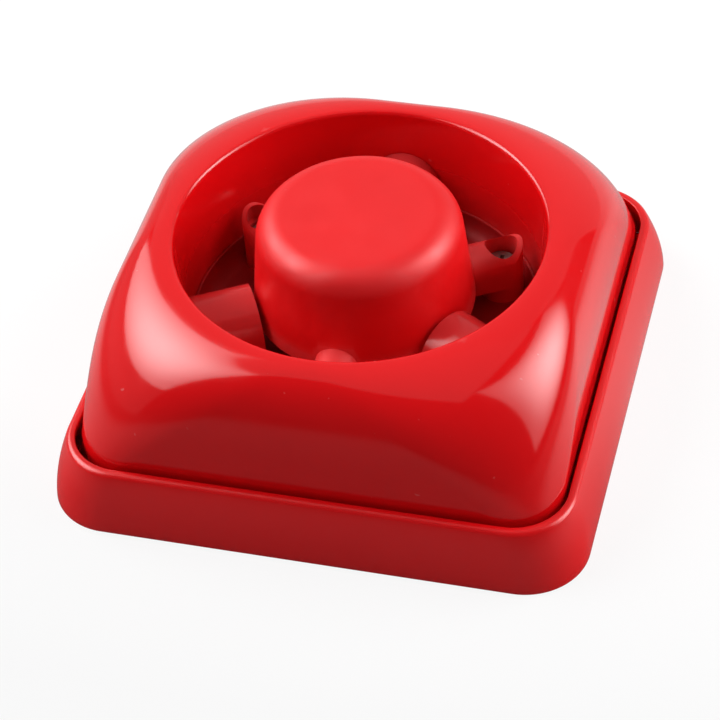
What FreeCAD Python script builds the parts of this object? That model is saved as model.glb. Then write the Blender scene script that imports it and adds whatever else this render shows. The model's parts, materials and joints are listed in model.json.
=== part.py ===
"""A square wall sounder: a red tray, a domed front with a round horn mouth, and a central reflector cap.

Millimetres. The origin is the centre of the back face that lies against the wall, +Z points out of
the wall into the room, +Y is up on the wall and +X is to the right.
"""
import FreeCAD, Part

import math
import os

from FreeCAD import Vector

# ---- driving dimensions ------------------------------------------------------------------------
# tray
TRAY_SIDE = 120.0            # outer side of the back face
TRAY_CORNER = 14.1           # corner radius of the back face
TRAY_HEIGHT = 15.1           # height of the rim above the wall
TRAY_LEAN = 3.4              # how far each side leans in over that height
TRAY_FLOOR = 2.5
TRAY_WALL = 1.9
TRAY_RIM_ROUND = 0.6
# front cover
COVER_GAP = 0.7              # gap between cover and tray rim along the sides
COVER_CORNER = 13.4          # corner radius of the skirt
COVER_TOP = 43.2             # height of the horn mouth's edge
COVER_KNEE = 14.8            # height at which the skirt starts to roll over
COVER_RISE_POWER = 3.7       # how late the side rolls over: higher is squarer
COVER_ROLL_POWER = 1.8       # how full the shoulder is
COVER_WALL = 2.2
MOUTH_RADIUS = 41.1          # radius of the horn mouth
MOUTH_ROUND = 1.1            # rounding of its edge
MOUTH_LAND = 0.15            # flat ring between that rounding and the dome
MOUTH_DRAFT = 4.3            # degrees, the mouth narrows inwards
SKIRT_WALL = 1.9             # wall of the horn mouth's skirt
SEAT_LIP_WIDTH = 2.4         # inward lip that the bowl clamps
SEAT_LIP_THICKNESS = 1.5
# bowl at the bottom of the mouth
UNDER_BOWL = 5.9             # room between the circuit board and the bowl
BOWL_FLOOR = 2.0
BOWL_RIM_RISE = 6.0          # height of the bowl's rim over its underside
BOWL_RIM_WALL = 1.5
BOWL_CLEARANCE = 0.2         # radial gap to the mouth's skirt
RIDGE_RADIUS = 8.8
RIDGE_AXIS = 23.4            # height of the ridge's round top's axis
RIDGE_GAP = 0.3              # between the ridges' inner ends and the cap
RIDGE_WALL = 1.8
THROAT_HOLE = 9.0
TOWER_RADIUS = 15.0
TOWER_WALL = 2.0
TOWER_GAP = 10.5             # under the cap's ceiling
# reflector cap over the throat
HUB_TOP = 48.5
HUB_BOTTOM = 24.0
HUB_BOTTOM_RADIUS = 24.9
HUB_TOP_RADIUS = 22.35       # before the top edge is rounded
HUB_ROUND = 6.3
HUB_WALL = 2.0
ARM_RADIUS = 4.9             # round top of each arm, and its post
ARM_RISE = 1.0               # of the arms' axis above the cap's bottom edge
ARM_ROOT = 1.5               # how far the arms reach in past the cap's wall
POST_GAP = 0.2               # between the three posts and the bowl's rim
MOUTH_OF_POST = 3.7          # radius of the open hole down to the screw
# three long screws that clamp cap, bowl and cover to the tray
LONG_SCREW_DROP = 2.8        # of the screws' seat below the arms' axis
LONG_SCREW_LENGTH = 18.0
LONG_SHANK = 1.6
LONG_HEAD = 3.2
LONG_HEAD_HEIGHT = 2.4
RECESS_FLOOR = 0.4           # share of a head's height that is left under its cross recess
RECESS_WIDTH = 0.3           # of the cross recess, as a share of the head's radius
RECESS_LENGTH = 1.2          # of the cross recess, as a share of the head's radius
SCREW_CLEARANCE = 0.3        # radial room round a shank in a plain hole
PILOT_CLEARANCE = 0.05       # radial room round a shank in its pilot hole
BOSS_WALL = 2.2              # wall of a screw boss round its pilot hole
# sound driver under the throat
DISC_RADIUS = 17.6
DISC_THICKNESS = 0.3
CERAMIC_RADIUS = 12.5
CERAMIC_THICKNESS = 0.25
GASKET_WIDTH = 2.3
GASKET_THICKNESS = 0.5
COLLAR_WALL = 2.0
COLLAR_DEPTH = 3.3
RETAINER_PLATE = 1.0
RETAINER_CLEARANCE = 0.1
RETAINER_EAR_REACH = 1.7     # of the ears' centres beyond the collar
RETAINER_EAR_RADIUS = 2.8
SMALL_SHANK = 0.9
SMALL_HEAD = 1.7
SMALL_HEAD_HEIGHT = 1.1
SMALL_SCREW_LENGTH = 3.6
# circuit board
BOARD_GAP = 2.8              # to the inside of the cover
BOARD_CORNER = 12.0
BOARD_THICKNESS = 1.6
BOARD_STANDOFF = 4.0
BOARD_SCREW_EDGE = 5.0       # from the board's left and right edges
BOARD_SCREW_Y = 14.0
BOARD_SHANK = 1.3
BOARD_HEAD = 2.6
BOARD_HEAD_HEIGHT = 1.7
BOARD_SCREW_LENGTH = 5.0
BOARD_HOLE_CLEARANCE = 0.4   # room round a tray boss that passes the board
# wall mounting and cable entry in the tray's floor
WALL_HOLE_RADIUS = 2.25
WALL_HOLE_EDGE = 3.0         # inside the board's edge, which is notched round it
WALL_PAD_RADIUS = 5.0
WALL_PAD_HEIGHT = 1.5
CABLE_HOLE_RADIUS = 5.5
CABLE_HOLE_GAP = 10.7        # outside the driver's retainer, towards the corner at -X, -Y
CABLE_COLLAR_WALL = 1.5
CABLE_COLLAR_GAP = 1.0       # under the circuit board
BOARD_CABLE_MARGIN = 0.7     # the board's hole is this much larger in radius
# terminal block
POLE_COUNT = 3
POLE_PITCH = 5.0
BLOCK_DEPTH = 8.0
BLOCK_HEIGHT = 10.0
BLOCK_END_WALL = 0.2
BLOCK_GAP = 0.8              # to the board's cable hole
CAGE_WIDTH = 3.5
CAGE_DEPTH = 3.8
CAGE_HEIGHT = 4.4
CAGE_WALL = 0.7
CAGE_FOOT = 0.9              # height of the open cage above the board
CAGE_TRAVEL = 1.125
TONGUE_WIDTH = 1.8
TONGUE_HEIGHT = 3.2
TONGUE_THICKNESS = 0.8
PIN_PROUD = 0.8              # of the soldered pins under the board
PIN_WIDTH = 0.8
PIN_CLEARANCE = 0.1
CLAMP_HEAD = 1.9
CLAMP_HEAD_HEIGHT = 1.6
CLAMP_SHANK = 1.2
CLAMP_SLOT = 0.57
TOUCH_GAP = 0.02             # left where moving pieces press on each other
RUNNING_CLEARANCE = 0.05
# tone switches
TONE_COUNT = 4
TONE_PITCH = 2.54
TONE_DEPTH = 6.2
TONE_HEIGHT = 3.4
TONE_SLOT_LENGTH = 3.8
TONE_SLOT_DEPTH = 1.5
SLIDER_WIDTH = 1.2
SLIDER_LENGTH = 1.6
SLIDER_PROUD = 0.6
TONE_X = 22.0
TONE_EDGE = 1.6              # to the board's edge
TONE_END_WALL = 0.3
# volume trimmer
TRIMMER_SIDE = 6.5
TRIMMER_HEIGHT = 4.6
TRIMMER_EDGE = 1.25
TRIMMER_Y = -26.0
ROTOR_RADIUS = 2.3
ROTOR_DEPTH = 1.6
ROTOR_SHAFT = 0.9
ROTOR_SHAFT_DEPTH = 1.4
ROTOR_PROUD = 0.2
ROTOR_SLOT_WIDTH = 0.7
ROTOR_SLOT_SHORT = 1.7       # the slot's blunt end, from the axis
ROTOR_SLOT_LONG = 2.2        # its other end, which shows where the rotor points
# cover-off switch
TAMPER_EDGE = 5.5
TAMPER_SIDE = 7.0
TAMPER_HEIGHT = 8.0
TAMPER_WALL = 1.2
PLUNGER_RADIUS = 1.5
PLUNGER_FLANGE = 2.2
PLUNGER_FLANGE_HEIGHT = 1.0
PLUNGER_PROUD = 4.9
PLUNGER_PRESSED = 1.0        # how far the closed cover holds it below its stop
TAMPER_RIB_RADIUS = 2.4
SPRING_WIRE = 0.25
SPRING_RADIUS = 1.5
SPRING_TURNS = 4
# parts soldered to the board
CAN_RADIUS = 5.0
CAN_HEIGHT = 16.0
CAN_EDGE = 4.0
CAN_GROOVE = 0.4
CAN_GROOVE_WIDTH = 0.8
CAN_GROOVE_HEIGHT = 1.6      # above the board
COIL_RADIUS = 5.5
COIL_HEIGHT = 10.0
COIL_FLANGE = 1.5
COIL_CORE_RADIUS = 2.6
COIL_EDGE = 3.5
COIL_WINDING_INSET = 0.6
LEAD_RADIUS = 0.5
LEAD_BEND = 1.5
DISC_LEAD_RUN = 5.5
CERAMIC_LEAD_RUN = 5.0
CONTROL_CHIP = dict(length=8.7, width=3.9, height=1.6, foot=1.0, feet=7, x=-8.0, y=32.0)
DRIVER_TRANSISTOR = dict(length=6.6, width=6.1, height=2.3, foot=1.6, feet=2, x=12.0, y=33.0)
POLARITY_DIODE = dict(length=2.6, width=4.3, height=2.1, foot=0.5, feet=1, x=-28.0, y=-17.5)
CHIP_STANDOFF = 0.1
FOOT_THICKNESS = 0.25
FOOT_SHARE = 0.35            # width of a foot as a share of the feet's pitch
SMALL_CHIP_WIDTH = 1.6
SMALL_CHIP_LENGTH = 3.2
RESISTORS = dict(count=5, height=0.6, x=12.0, y=-31.0)
CAPACITORS = dict(count=3, height=1.2, x=-18.0, y=-31.0)

# ---- sizes worked out from those above ---------------------------------------------------------
ARM_ANGLES = (30, 150, 270)
RIDGE_ANGLES = (90, 210, 330)
WALL_HOLE_ANGLES = (0, 90, 180, 270)
CABLE_CORNER = 225           # direction of the corner with the cable hole and the terminal block
TRAY_HALF = TRAY_SIDE / 2
RIM_HALF = TRAY_HALF - TRAY_LEAN
COVER_HALF = RIM_HALF - TRAY_WALL - COVER_GAP
CREST_RADIUS = MOUTH_RADIUS + MOUTH_ROUND + MOUTH_LAND
DRAFT = math.tan(math.radians(MOUTH_DRAFT))
BOARD_BOTTOM = TRAY_FLOOR + BOARD_STANDOFF
BOARD_TOP = BOARD_BOTTOM + BOARD_THICKNESS
BOARD_HALF = COVER_HALF - COVER_WALL - BOARD_GAP
BOWL_SEAT = BOARD_TOP + UNDER_BOWL
BOWL_TOP = BOWL_SEAT + BOWL_FLOOR
BOWL_RIM_TOP = BOWL_SEAT + BOWL_RIM_RISE
LIP_BOTTOM = BOWL_SEAT - SEAT_LIP_THICKNESS
RIDGE_INNER_END = HUB_BOTTOM_RADIUS + RIDGE_GAP
TOWER_TOP = HUB_TOP - HUB_WALL - TOWER_GAP
ARM_AXIS = HUB_BOTTOM + ARM_RISE
LONG_SCREW_SEAT = ARM_AXIS - LONG_SCREW_DROP
BOSS_RADIUS = LONG_SHANK + PILOT_CLEARANCE + BOSS_WALL
GASKET_BOTTOM = BOWL_SEAT - GASKET_THICKNESS
DISC_BOTTOM = GASKET_BOTTOM - DISC_THICKNESS
CERAMIC_BOTTOM = DISC_BOTTOM - CERAMIC_THICKNESS
COLLAR_RADIUS = DISC_RADIUS + 2 * RETAINER_CLEARANCE
COLLAR_BOTTOM = BOWL_SEAT - COLLAR_DEPTH
GASKET_INNER = DISC_RADIUS - GASKET_WIDTH
RETAINER_EAR_CIRCLE = COLLAR_RADIUS + COLLAR_WALL + RETAINER_EAR_REACH
BOARD_SCREW_X = BOARD_HALF - BOARD_SCREW_EDGE
WALL_HOLE_CIRCLE = BOARD_HALF - WALL_HOLE_EDGE
TONE_Y = TONE_EDGE + TONE_DEPTH / 2 - BOARD_HALF
TONE_TOP = BOARD_TOP + TONE_HEIGHT
TRIMMER_X = BOARD_HALF - TRIMMER_EDGE - TRIMMER_SIDE / 2
TAMPER_X = BOARD_HALF - TAMPER_EDGE - TAMPER_SIDE / 2
TAMPER_Y = -TAMPER_X
TAMPER_TOP = BOARD_TOP + TAMPER_HEIGHT
PLUNGER_TOP = TAMPER_TOP + PLUNGER_PROUD
CAN_X = BOARD_HALF - CAN_EDGE - CAN_RADIUS
CAN_Y = CAN_X
COIL_X = COIL_EDGE + COIL_RADIUS - BOARD_HALF
COIL_Y = -COIL_X
CABLE_HOLE_DISTANCE = RETAINER_EAR_CIRCLE + RETAINER_EAR_RADIUS + CABLE_HOLE_GAP + CABLE_HOLE_RADIUS
CABLE_XY = -CABLE_HOLE_DISTANCE / math.sqrt(2)
BOARD_CABLE_HOLE = CABLE_HOLE_RADIUS + BOARD_CABLE_MARGIN
BLOCK_DISTANCE = CABLE_HOLE_DISTANCE + BOARD_CABLE_HOLE + BLOCK_GAP + BLOCK_DEPTH / 2
POCKET_TOP = CAGE_FOOT + CAGE_HEIGHT + CAGE_TRAVEL + 2 * RUNNING_CLEARANCE
TONGUE_TOP = TONGUE_HEIGHT + TONGUE_THICKNESS
ROLL_ANGLES = (0, 14, 28, 41, 53, 64, 74, 83, 90)
UP = Vector(0, 0, 1)
OVER = 1.0                   # how far a cutter stands out of what it cuts
CLOSE = 0.01                 # how near an edge's box has to be to a height to count as at it
LEAST_STRAIGHT = 0.2         # straight stretch that is left where a section is nearly a circle


# ---- helpers -------------------------------------------------------------------------------------
def cylinder(radius, low, high, x=0.0, y=0.0):
    return Part.makeCylinder(radius, high - low, Vector(x, y, low))


def ring(outer, inner, low, high, x=0.0, y=0.0):
    return cylinder(outer, low, high, x, y).cut(cylinder(inner, low - OVER, high + OVER, x, y))


def block(x_low, x_high, y_low, y_high, low, high):
    return Part.makeBox(x_high - x_low, y_high - y_low, high - low, Vector(x_low, y_low, low))


def centred_block(width, depth, low, high, x=0.0, y=0.0):
    return block(x - width / 2, x + width / 2, y - depth / 2, y + depth / 2, low, high)


def turned(shape, degrees):
    copy = shape.copy()
    copy.rotate(Vector(0, 0, 0), UP, degrees)
    return copy


def moved(shape, x, y, z=0.0):
    copy = shape.copy()
    copy.translate(Vector(x, y, z))
    return copy


def polar(radius, degrees):
    angle = math.radians(degrees)
    return radius * math.cos(angle), radius * math.sin(angle)


def rounded_square(half, corner, z):
    """A wire of four sides and four quarter arcs, counter-clockwise from the right side's upper end."""
    straight = half - corner
    diagonal = straight + corner * math.sqrt(0.5)
    edges = []
    for turn in range(4):
        start = Vector(half, straight, z)
        middle = Vector(diagonal, diagonal, z)
        end = Vector(straight, half, z)
        arc = Part.Arc(start, middle, end).toShape()
        side = Part.LineSegment(end, Vector(-straight, half, z)).toShape()
        edges += [turned(arc, 90 * turn), turned(side, 90 * turn)]
    return Part.Wire(edges)


def prism(half, corner, low, high):
    return Part.Face(rounded_square(half, corner, low)).extrude(Vector(0, 0, high - low))


def revolved(points):
    """A solid of revolution about Z from a closed outline of (radius, height) corners."""
    corners = [Vector(radius, 0, height) for radius, height in points]
    face = Part.Face(Part.makePolygon(corners + corners[:1]))
    return face.revolve(Vector(0, 0, 0), UP, 360)


def union(shapes):
    whole = shapes[0]
    for shape in shapes[1:]:
        whole = whole.fuse(shape)
    return whole.removeSplitter()


def cut_all(shape, tools):
    for tool in tools:
        shape = shape.cut(tool)
    return shape


def mouth_wall(height):
    """The horn mouth's radius at a height: it narrows towards the wall."""
    return MOUTH_RADIUS - (COVER_TOP - height) * DRAFT


POST_CIRCLE = mouth_wall(BOWL_SEAT) - BOWL_CLEARANCE - BOWL_RIM_WALL - POST_GAP - ARM_RADIUS


def pan_screw(x, y, seat, length, shank, head, head_height):
    """A self-tapping screw that points down, with a cross recess in its head."""
    body = cylinder(shank, seat - length, seat, x, y).fuse(cylinder(head, seat, seat + head_height, x, y))
    recess_low = seat + head_height * RECESS_FLOOR
    recess_high = seat + head_height + OVER
    long = head * RECESS_LENGTH
    short = head * RECESS_WIDTH
    for width, depth in ((long, short), (short, long)):
        body = body.cut(centred_block(width, depth, recess_low, recess_high, x, y))
    return body


def group(solids):
    return Part.makeCompound(solids)


# ---- housing -------------------------------------------------------------------------------------
def tray_half_at(height):
    return TRAY_HALF - TRAY_LEAN * height / TRAY_HEIGHT


def tray_section(height, inset):
    corner = TRAY_CORNER - TRAY_LEAN * height / TRAY_HEIGHT
    return rounded_square(tray_half_at(height) - inset, corner - inset, height)


def base_tray():
    outside = Part.makeLoft([tray_section(0, 0), tray_section(TRAY_HEIGHT, 0)], True, True)
    inside = Part.makeLoft(
        [tray_section(TRAY_FLOOR, TRAY_WALL), tray_section(TRAY_HEIGHT + OVER, TRAY_WALL)], True, True)
    tray = outside.cut(inside)
    rim = [edge for edge in tray.Edges if edge.BoundBox.ZMin > TRAY_HEIGHT - CLOSE]
    tray = tray.makeFillet(TRAY_RIM_ROUND, rim)
    bosses = []
    holes = []
    for angle in ARM_ANGLES:
        x, y = polar(POST_CIRCLE, angle)
        bosses.append(cylinder(BOSS_RADIUS, TRAY_FLOOR, BOWL_SEAT, x, y))
        pilot_low = LONG_SCREW_SEAT - LONG_SCREW_LENGTH - PILOT_CLEARANCE
        holes.append(cylinder(LONG_SHANK + PILOT_CLEARANCE, pilot_low, BOWL_SEAT + OVER, x, y))
    for x, y in board_screw_places():
        bosses.append(cylinder(BOARD_HEAD, TRAY_FLOOR, BOARD_BOTTOM, x, y))
        pilot_low = BOARD_TOP - BOARD_SCREW_LENGTH - PILOT_CLEARANCE
        holes.append(cylinder(BOARD_SHANK + PILOT_CLEARANCE, pilot_low, BOARD_BOTTOM + OVER, x, y))
    for angle in WALL_HOLE_ANGLES:
        x, y = polar(WALL_HOLE_CIRCLE, angle)
        bosses.append(cylinder(WALL_PAD_RADIUS, TRAY_FLOOR, TRAY_FLOOR + WALL_PAD_HEIGHT, x, y))
        holes.append(cylinder(WALL_HOLE_RADIUS, -OVER, TRAY_FLOOR + WALL_PAD_HEIGHT + OVER, x, y))
    collar = CABLE_HOLE_RADIUS + CABLE_COLLAR_WALL
    bosses.append(cylinder(collar, TRAY_FLOOR, BOARD_BOTTOM - CABLE_COLLAR_GAP, CABLE_XY, CABLE_XY))
    holes.append(cylinder(CABLE_HOLE_RADIUS, -OVER, BOARD_BOTTOM, CABLE_XY, CABLE_XY))
    return cut_all(union([tray] + bosses), holes)


def dome(inset):
    """The cover's outer form, or the hollow inside it at an inset of one wall."""
    sections = []
    top = COVER_TOP - inset
    low_corner = COVER_CORNER - inset
    for degrees in ROLL_ANGLES:
        angle = math.radians(degrees)
        rise = math.sin(angle) ** (2 / COVER_RISE_POWER)
        width = math.cos(angle) ** (2 / COVER_ROLL_POWER) if degrees < 90 else 0.0
        half = CREST_RADIUS + (COVER_HALF - inset - CREST_RADIUS) * width
        corner = low_corner + (CREST_RADIUS - low_corner) * rise
        corner = min(corner, half - LEAST_STRAIGHT)
        sections.append(rounded_square(half, corner, COVER_KNEE + (top - COVER_KNEE) * rise))
    roof = Part.makeLoft(sections, True, False)
    skirt = prism(COVER_HALF - inset, low_corner, TRAY_FLOOR - inset, COVER_KNEE)
    return union([skirt, roof])


def mouth_cutter():
    """Everything inside the horn mouth, down through the seat lip at its bottom."""
    lip_radius = mouth_wall(BOWL_SEAT) - SEAT_LIP_WIDTH
    high = COVER_TOP + OVER
    return revolved([
        (0, LIP_BOTTOM - OVER), (lip_radius, LIP_BOTTOM - OVER), (lip_radius, BOWL_SEAT),
        (mouth_wall(BOWL_SEAT), BOWL_SEAT), (mouth_wall(high), high), (0, high)])


def front_cover():
    outside = dome(0)
    low = mouth_wall(LIP_BOTTOM) + SKIRT_WALL
    high = mouth_wall(COVER_TOP) + SKIRT_WALL
    skirt = revolved([(0, LIP_BOTTOM), (low, LIP_BOTTOM), (high, COVER_TOP), (0, COVER_TOP)])
    rib = cylinder(TAMPER_RIB_RADIUS, PLUNGER_TOP + RUNNING_CLEARANCE, COVER_TOP, TAMPER_X, TAMPER_Y)
    hollow = dome(COVER_WALL).cut(skirt).cut(rib)
    cover = outside.cut(hollow).cut(mouth_cutter())
    edge = [
        edge for edge in cover.Edges
        if edge.BoundBox.ZMin > COVER_TOP - CLOSE and edge.BoundBox.XMax < MOUTH_RADIUS + CLOSE]
    return cover.makeFillet(MOUTH_ROUND, edge)


def ridge():
    """One round-topped hollow ridge along +X, from its flat inner end to the mouth's wall."""
    def round_top(radius, start, end, low):
        barrel = Part.makeCylinder(radius, end - start, Vector(start, 0, RIDGE_AXIS), Vector(1, 0, 0))
        return union([barrel, block(start, end, -radius, radius, low, RIDGE_AXIS)])
    envelope_top = RIDGE_AXIS + RIDGE_RADIUS + OVER
    envelope = revolved([
        (0, BOWL_SEAT), (mouth_wall(BOWL_SEAT) - BOWL_CLEARANCE, BOWL_SEAT),
        (mouth_wall(envelope_top) - BOWL_CLEARANCE, envelope_top), (0, envelope_top)])
    outside = round_top(RIDGE_RADIUS, RIDGE_INNER_END, MOUTH_RADIUS, BOWL_SEAT).common(envelope)
    core_end = mouth_wall(BOWL_SEAT) - BOWL_CLEARANCE - RIDGE_WALL
    core = round_top(
        RIDGE_RADIUS - RIDGE_WALL, RIDGE_INNER_END + RIDGE_WALL, core_end, BOWL_SEAT - OVER)
    return outside, core


def horn_bowl():
    low = mouth_wall(BOWL_SEAT) - BOWL_CLEARANCE
    high = mouth_wall(BOWL_RIM_TOP) - BOWL_CLEARANCE
    pan = revolved([
        (0, BOWL_SEAT), (low, BOWL_SEAT), (high, BOWL_RIM_TOP), (high - BOWL_RIM_WALL, BOWL_RIM_TOP),
        (low - BOWL_RIM_WALL, BOWL_TOP), (0, BOWL_TOP)])
    solids = [pan, cylinder(TOWER_RADIUS, BOWL_TOP, TOWER_TOP)]
    holes = [cylinder(THROAT_HOLE, BOWL_SEAT - OVER, TOWER_TOP)]
    holes.append(cylinder(TOWER_RADIUS - TOWER_WALL, BOWL_TOP, TOWER_TOP + OVER))
    outside, core = ridge()
    for angle in RIDGE_ANGLES:
        solids.append(turned(outside, angle))
        holes.append(turned(core, angle))
    solids.append(ring(COLLAR_RADIUS + COLLAR_WALL, COLLAR_RADIUS, COLLAR_BOTTOM, BOWL_SEAT))
    for x, y in retainer_screw_places():
        boss = cylinder(RETAINER_EAR_RADIUS, COLLAR_BOTTOM, BOWL_SEAT, x, y)
        solids.append(boss.cut(cylinder(COLLAR_RADIUS, COLLAR_BOTTOM - OVER, BOWL_SEAT)))
        pilot_low = COLLAR_BOTTOM - OVER
        pilot_high = COLLAR_BOTTOM - RETAINER_PLATE + SMALL_SCREW_LENGTH + PILOT_CLEARANCE
        holes.append(cylinder(SMALL_SHANK + PILOT_CLEARANCE, pilot_low, pilot_high, x, y))
    for angle in ARM_ANGLES:
        x, y = polar(POST_CIRCLE, angle)
        holes.append(cylinder(LONG_SHANK + SCREW_CLEARANCE, BOWL_SEAT - OVER, BOWL_TOP + OVER, x, y))
    return cut_all(union(solids), holes)


def arm_and_post():
    """One arm along +X with the post at its end, still without its screw hole."""
    start = HUB_BOTTOM_RADIUS - HUB_WALL - ARM_ROOT
    end = POST_CIRCLE + ARM_RADIUS
    barrel = Part.makeCylinder(ARM_RADIUS, end - start, Vector(start, 0, ARM_AXIS), Vector(1, 0, 0))
    web = block(start, end, -ARM_RADIUS, ARM_RADIUS, ARM_AXIS - ARM_RADIUS, ARM_AXIS)
    foot_print = union([
        block(start, POST_CIRCLE, -ARM_RADIUS, ARM_RADIUS, BOWL_TOP, HUB_TOP),
        cylinder(ARM_RADIUS, BOWL_TOP, HUB_TOP, POST_CIRCLE)])
    arm = union([barrel, web]).common(foot_print)
    return union([arm, cylinder(ARM_RADIUS, BOWL_TOP, ARM_AXIS, POST_CIRCLE)])


def hub_cap():
    rise = HUB_TOP - HUB_BOTTOM
    outside = Part.makeCone(HUB_BOTTOM_RADIUS, HUB_TOP_RADIUS, rise, Vector(0, 0, HUB_BOTTOM))
    top_edge = [edge for edge in outside.Edges if edge.BoundBox.ZMin > HUB_TOP - CLOSE]
    outside = outside.makeFillet(HUB_ROUND, top_edge)
    inside = Part.makeCone(
        HUB_BOTTOM_RADIUS - HUB_WALL, HUB_TOP_RADIUS - HUB_WALL, rise - HUB_WALL, Vector(0, 0, HUB_BOTTOM))
    inner_edge = [edge for edge in inside.Edges if edge.BoundBox.ZMin > HUB_TOP - HUB_WALL - CLOSE]
    inside = inside.makeFillet(HUB_ROUND - HUB_WALL, inner_edge)
    arms = [turned(arm_and_post(), angle) for angle in ARM_ANGLES]
    cap = union([outside.cut(inside)] + arms)
    holes = []
    for angle in ARM_ANGLES:
        x, y = polar(POST_CIRCLE, angle)
        holes.append(cylinder(MOUTH_OF_POST, LONG_SCREW_SEAT, HUB_TOP, x, y))
        holes.append(cylinder(LONG_SHANK + SCREW_CLEARANCE, BOWL_TOP - OVER, LONG_SCREW_SEAT + OVER, x, y))
    return cut_all(cap, holes)


def front_screws():
    screws = []
    for angle in ARM_ANGLES:
        x, y = polar(POST_CIRCLE, angle)
        screws.append(pan_screw(
            x, y, LONG_SCREW_SEAT, LONG_SCREW_LENGTH, LONG_SHANK, LONG_HEAD, LONG_HEAD_HEIGHT))
    return group(screws)


# ---- sound driver --------------------------------------------------------------------------------
def retainer_screw_places():
    return [polar(RETAINER_EAR_CIRCLE, angle) for angle in RIDGE_ANGLES]


def driver_gasket():
    return ring(DISC_RADIUS, GASKET_INNER, GASKET_BOTTOM, BOWL_SEAT)


def brass_disc():
    return cylinder(DISC_RADIUS, DISC_BOTTOM, GASKET_BOTTOM)


def ceramic_disc():
    return cylinder(CERAMIC_RADIUS, CERAMIC_BOTTOM, DISC_BOTTOM)


def driver_retainer():
    plate_low = COLLAR_BOTTOM - RETAINER_PLATE
    bore = GASKET_INNER
    pieces = [
        cylinder(COLLAR_RADIUS + COLLAR_WALL, plate_low, COLLAR_BOTTOM),
        cylinder(COLLAR_RADIUS - RETAINER_CLEARANCE, COLLAR_BOTTOM, DISC_BOTTOM)]
    holes = [cylinder(bore, plate_low - OVER, DISC_BOTTOM + OVER)]
    for x, y in retainer_screw_places():
        pieces.append(cylinder(RETAINER_EAR_RADIUS, plate_low, COLLAR_BOTTOM, x, y))
        holes.append(cylinder(SMALL_SHANK + SCREW_CLEARANCE, plate_low - OVER, COLLAR_BOTTOM + OVER, x, y))
    return cut_all(union(pieces), holes)


def retainer_screws():
    """Three small screws that point up, so each is turned over after it is made."""
    screws = []
    seat = COLLAR_BOTTOM - RETAINER_PLATE
    for x, y in retainer_screw_places():
        screw = pan_screw(x, y, 0, SMALL_SCREW_LENGTH, SMALL_SHANK, SMALL_HEAD, SMALL_HEAD_HEIGHT)
        screw.rotate(Vector(x, y, 0), Vector(1, 0, 0), 180)
        screws.append(moved(screw, 0, 0, seat))
    return group(screws)


def lead(top_x, top_height, run):
    """A short wire up from the board, along by `run`, and up again to the disc it is soldered to."""
    level = (BOARD_TOP + top_height) / 2
    foot_x = top_x - run
    bend = LEAD_BEND
    sag = bend * (1 - math.sqrt(0.5))
    low_arc = Part.Arc(
        Vector(foot_x, 0, level - bend), Vector(foot_x + sag, 0, level - sag),
        Vector(foot_x + bend, 0, level))
    high_arc = Part.Arc(
        Vector(top_x - bend, 0, level), Vector(top_x - sag, 0, level + sag), Vector(top_x, 0, level + bend))
    path = Part.Wire([
        Part.LineSegment(Vector(foot_x, 0, BOARD_TOP), Vector(foot_x, 0, level - bend)).toShape(),
        low_arc.toShape(),
        Part.LineSegment(Vector(foot_x + bend, 0, level), Vector(top_x - bend, 0, level)).toShape(),
        high_arc.toShape(),
        Part.LineSegment(Vector(top_x, 0, level + bend), Vector(top_x, 0, top_height)).toShape()])
    section = Part.Wire(Part.Circle(Vector(foot_x, 0, BOARD_TOP), UP, LEAD_RADIUS).toShape())
    return path.makePipeShell([section], True, False)


def disc_lead():
    """Soldered to the bare rim of the brass disc."""
    return turned(lead((CERAMIC_RADIUS + GASKET_INNER) / 2, DISC_BOTTOM, DISC_LEAD_RUN), 45)


def ceramic_lead():
    """Soldered to the face of the ceramic disc."""
    return turned(lead(CERAMIC_RADIUS / 2, CERAMIC_BOTTOM, CERAMIC_LEAD_RUN), 225)


# ---- circuit board -------------------------------------------------------------------------------
def board_screw_places():
    return [(sx * BOARD_SCREW_X, sy * BOARD_SCREW_Y) for sx in (-1, 1) for sy in (-1, 1)]


def circuit_board():
    board = prism(BOARD_HALF, BOARD_CORNER, BOARD_BOTTOM, BOARD_TOP)
    low = BOARD_BOTTOM - OVER
    high = BOARD_TOP + OVER
    holes = []
    for angle in ARM_ANGLES:
        x, y = polar(POST_CIRCLE, angle)
        holes.append(cylinder(BOSS_RADIUS + BOARD_HOLE_CLEARANCE, low, high, x, y))
    for angle in WALL_HOLE_ANGLES:
        x, y = polar(WALL_HOLE_CIRCLE, angle)
        holes.append(cylinder(WALL_PAD_RADIUS + BOARD_HOLE_CLEARANCE, low, high, x, y))
    for x, y in board_screw_places():
        holes.append(cylinder(BOARD_SHANK + SCREW_CLEARANCE, low, high, x, y))
    holes.append(cylinder(BOARD_CABLE_HOLE, low, high, CABLE_XY, CABLE_XY))
    for x, y in contact_pin_places():
        holes.append(cylinder(PIN_WIDTH * math.sqrt(0.5) + PIN_CLEARANCE, low, high, x, y))
    return cut_all(board, holes)


def board_screws():
    return group([
        pan_screw(x, y, BOARD_TOP, BOARD_SCREW_LENGTH, BOARD_SHANK, BOARD_HEAD, BOARD_HEAD_HEIGHT)
        for x, y in board_screw_places()])


# ---- terminal block ------------------------------------------------------------------------------
def pole_offsets():
    return [(index - (POLE_COUNT - 1) / 2) * POLE_PITCH for index in range(POLE_COUNT)]


def block_place(shape):
    """Moves a shape from the block's own frame, wires entering from -Y, to its corner of the board."""
    return moved(turned(shape, CABLE_CORNER - 90), *polar(BLOCK_DISTANCE, CABLE_CORNER), BOARD_TOP)


def contact_pin_places():
    row_x, row_y = polar(BLOCK_DISTANCE + tongue_back() - TONGUE_THICKNESS / 2, CABLE_CORNER)
    along_x, along_y = polar(1, CABLE_CORNER - 90)
    return [(row_x + offset * along_x, row_y + offset * along_y) for offset in pole_offsets()]


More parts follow.
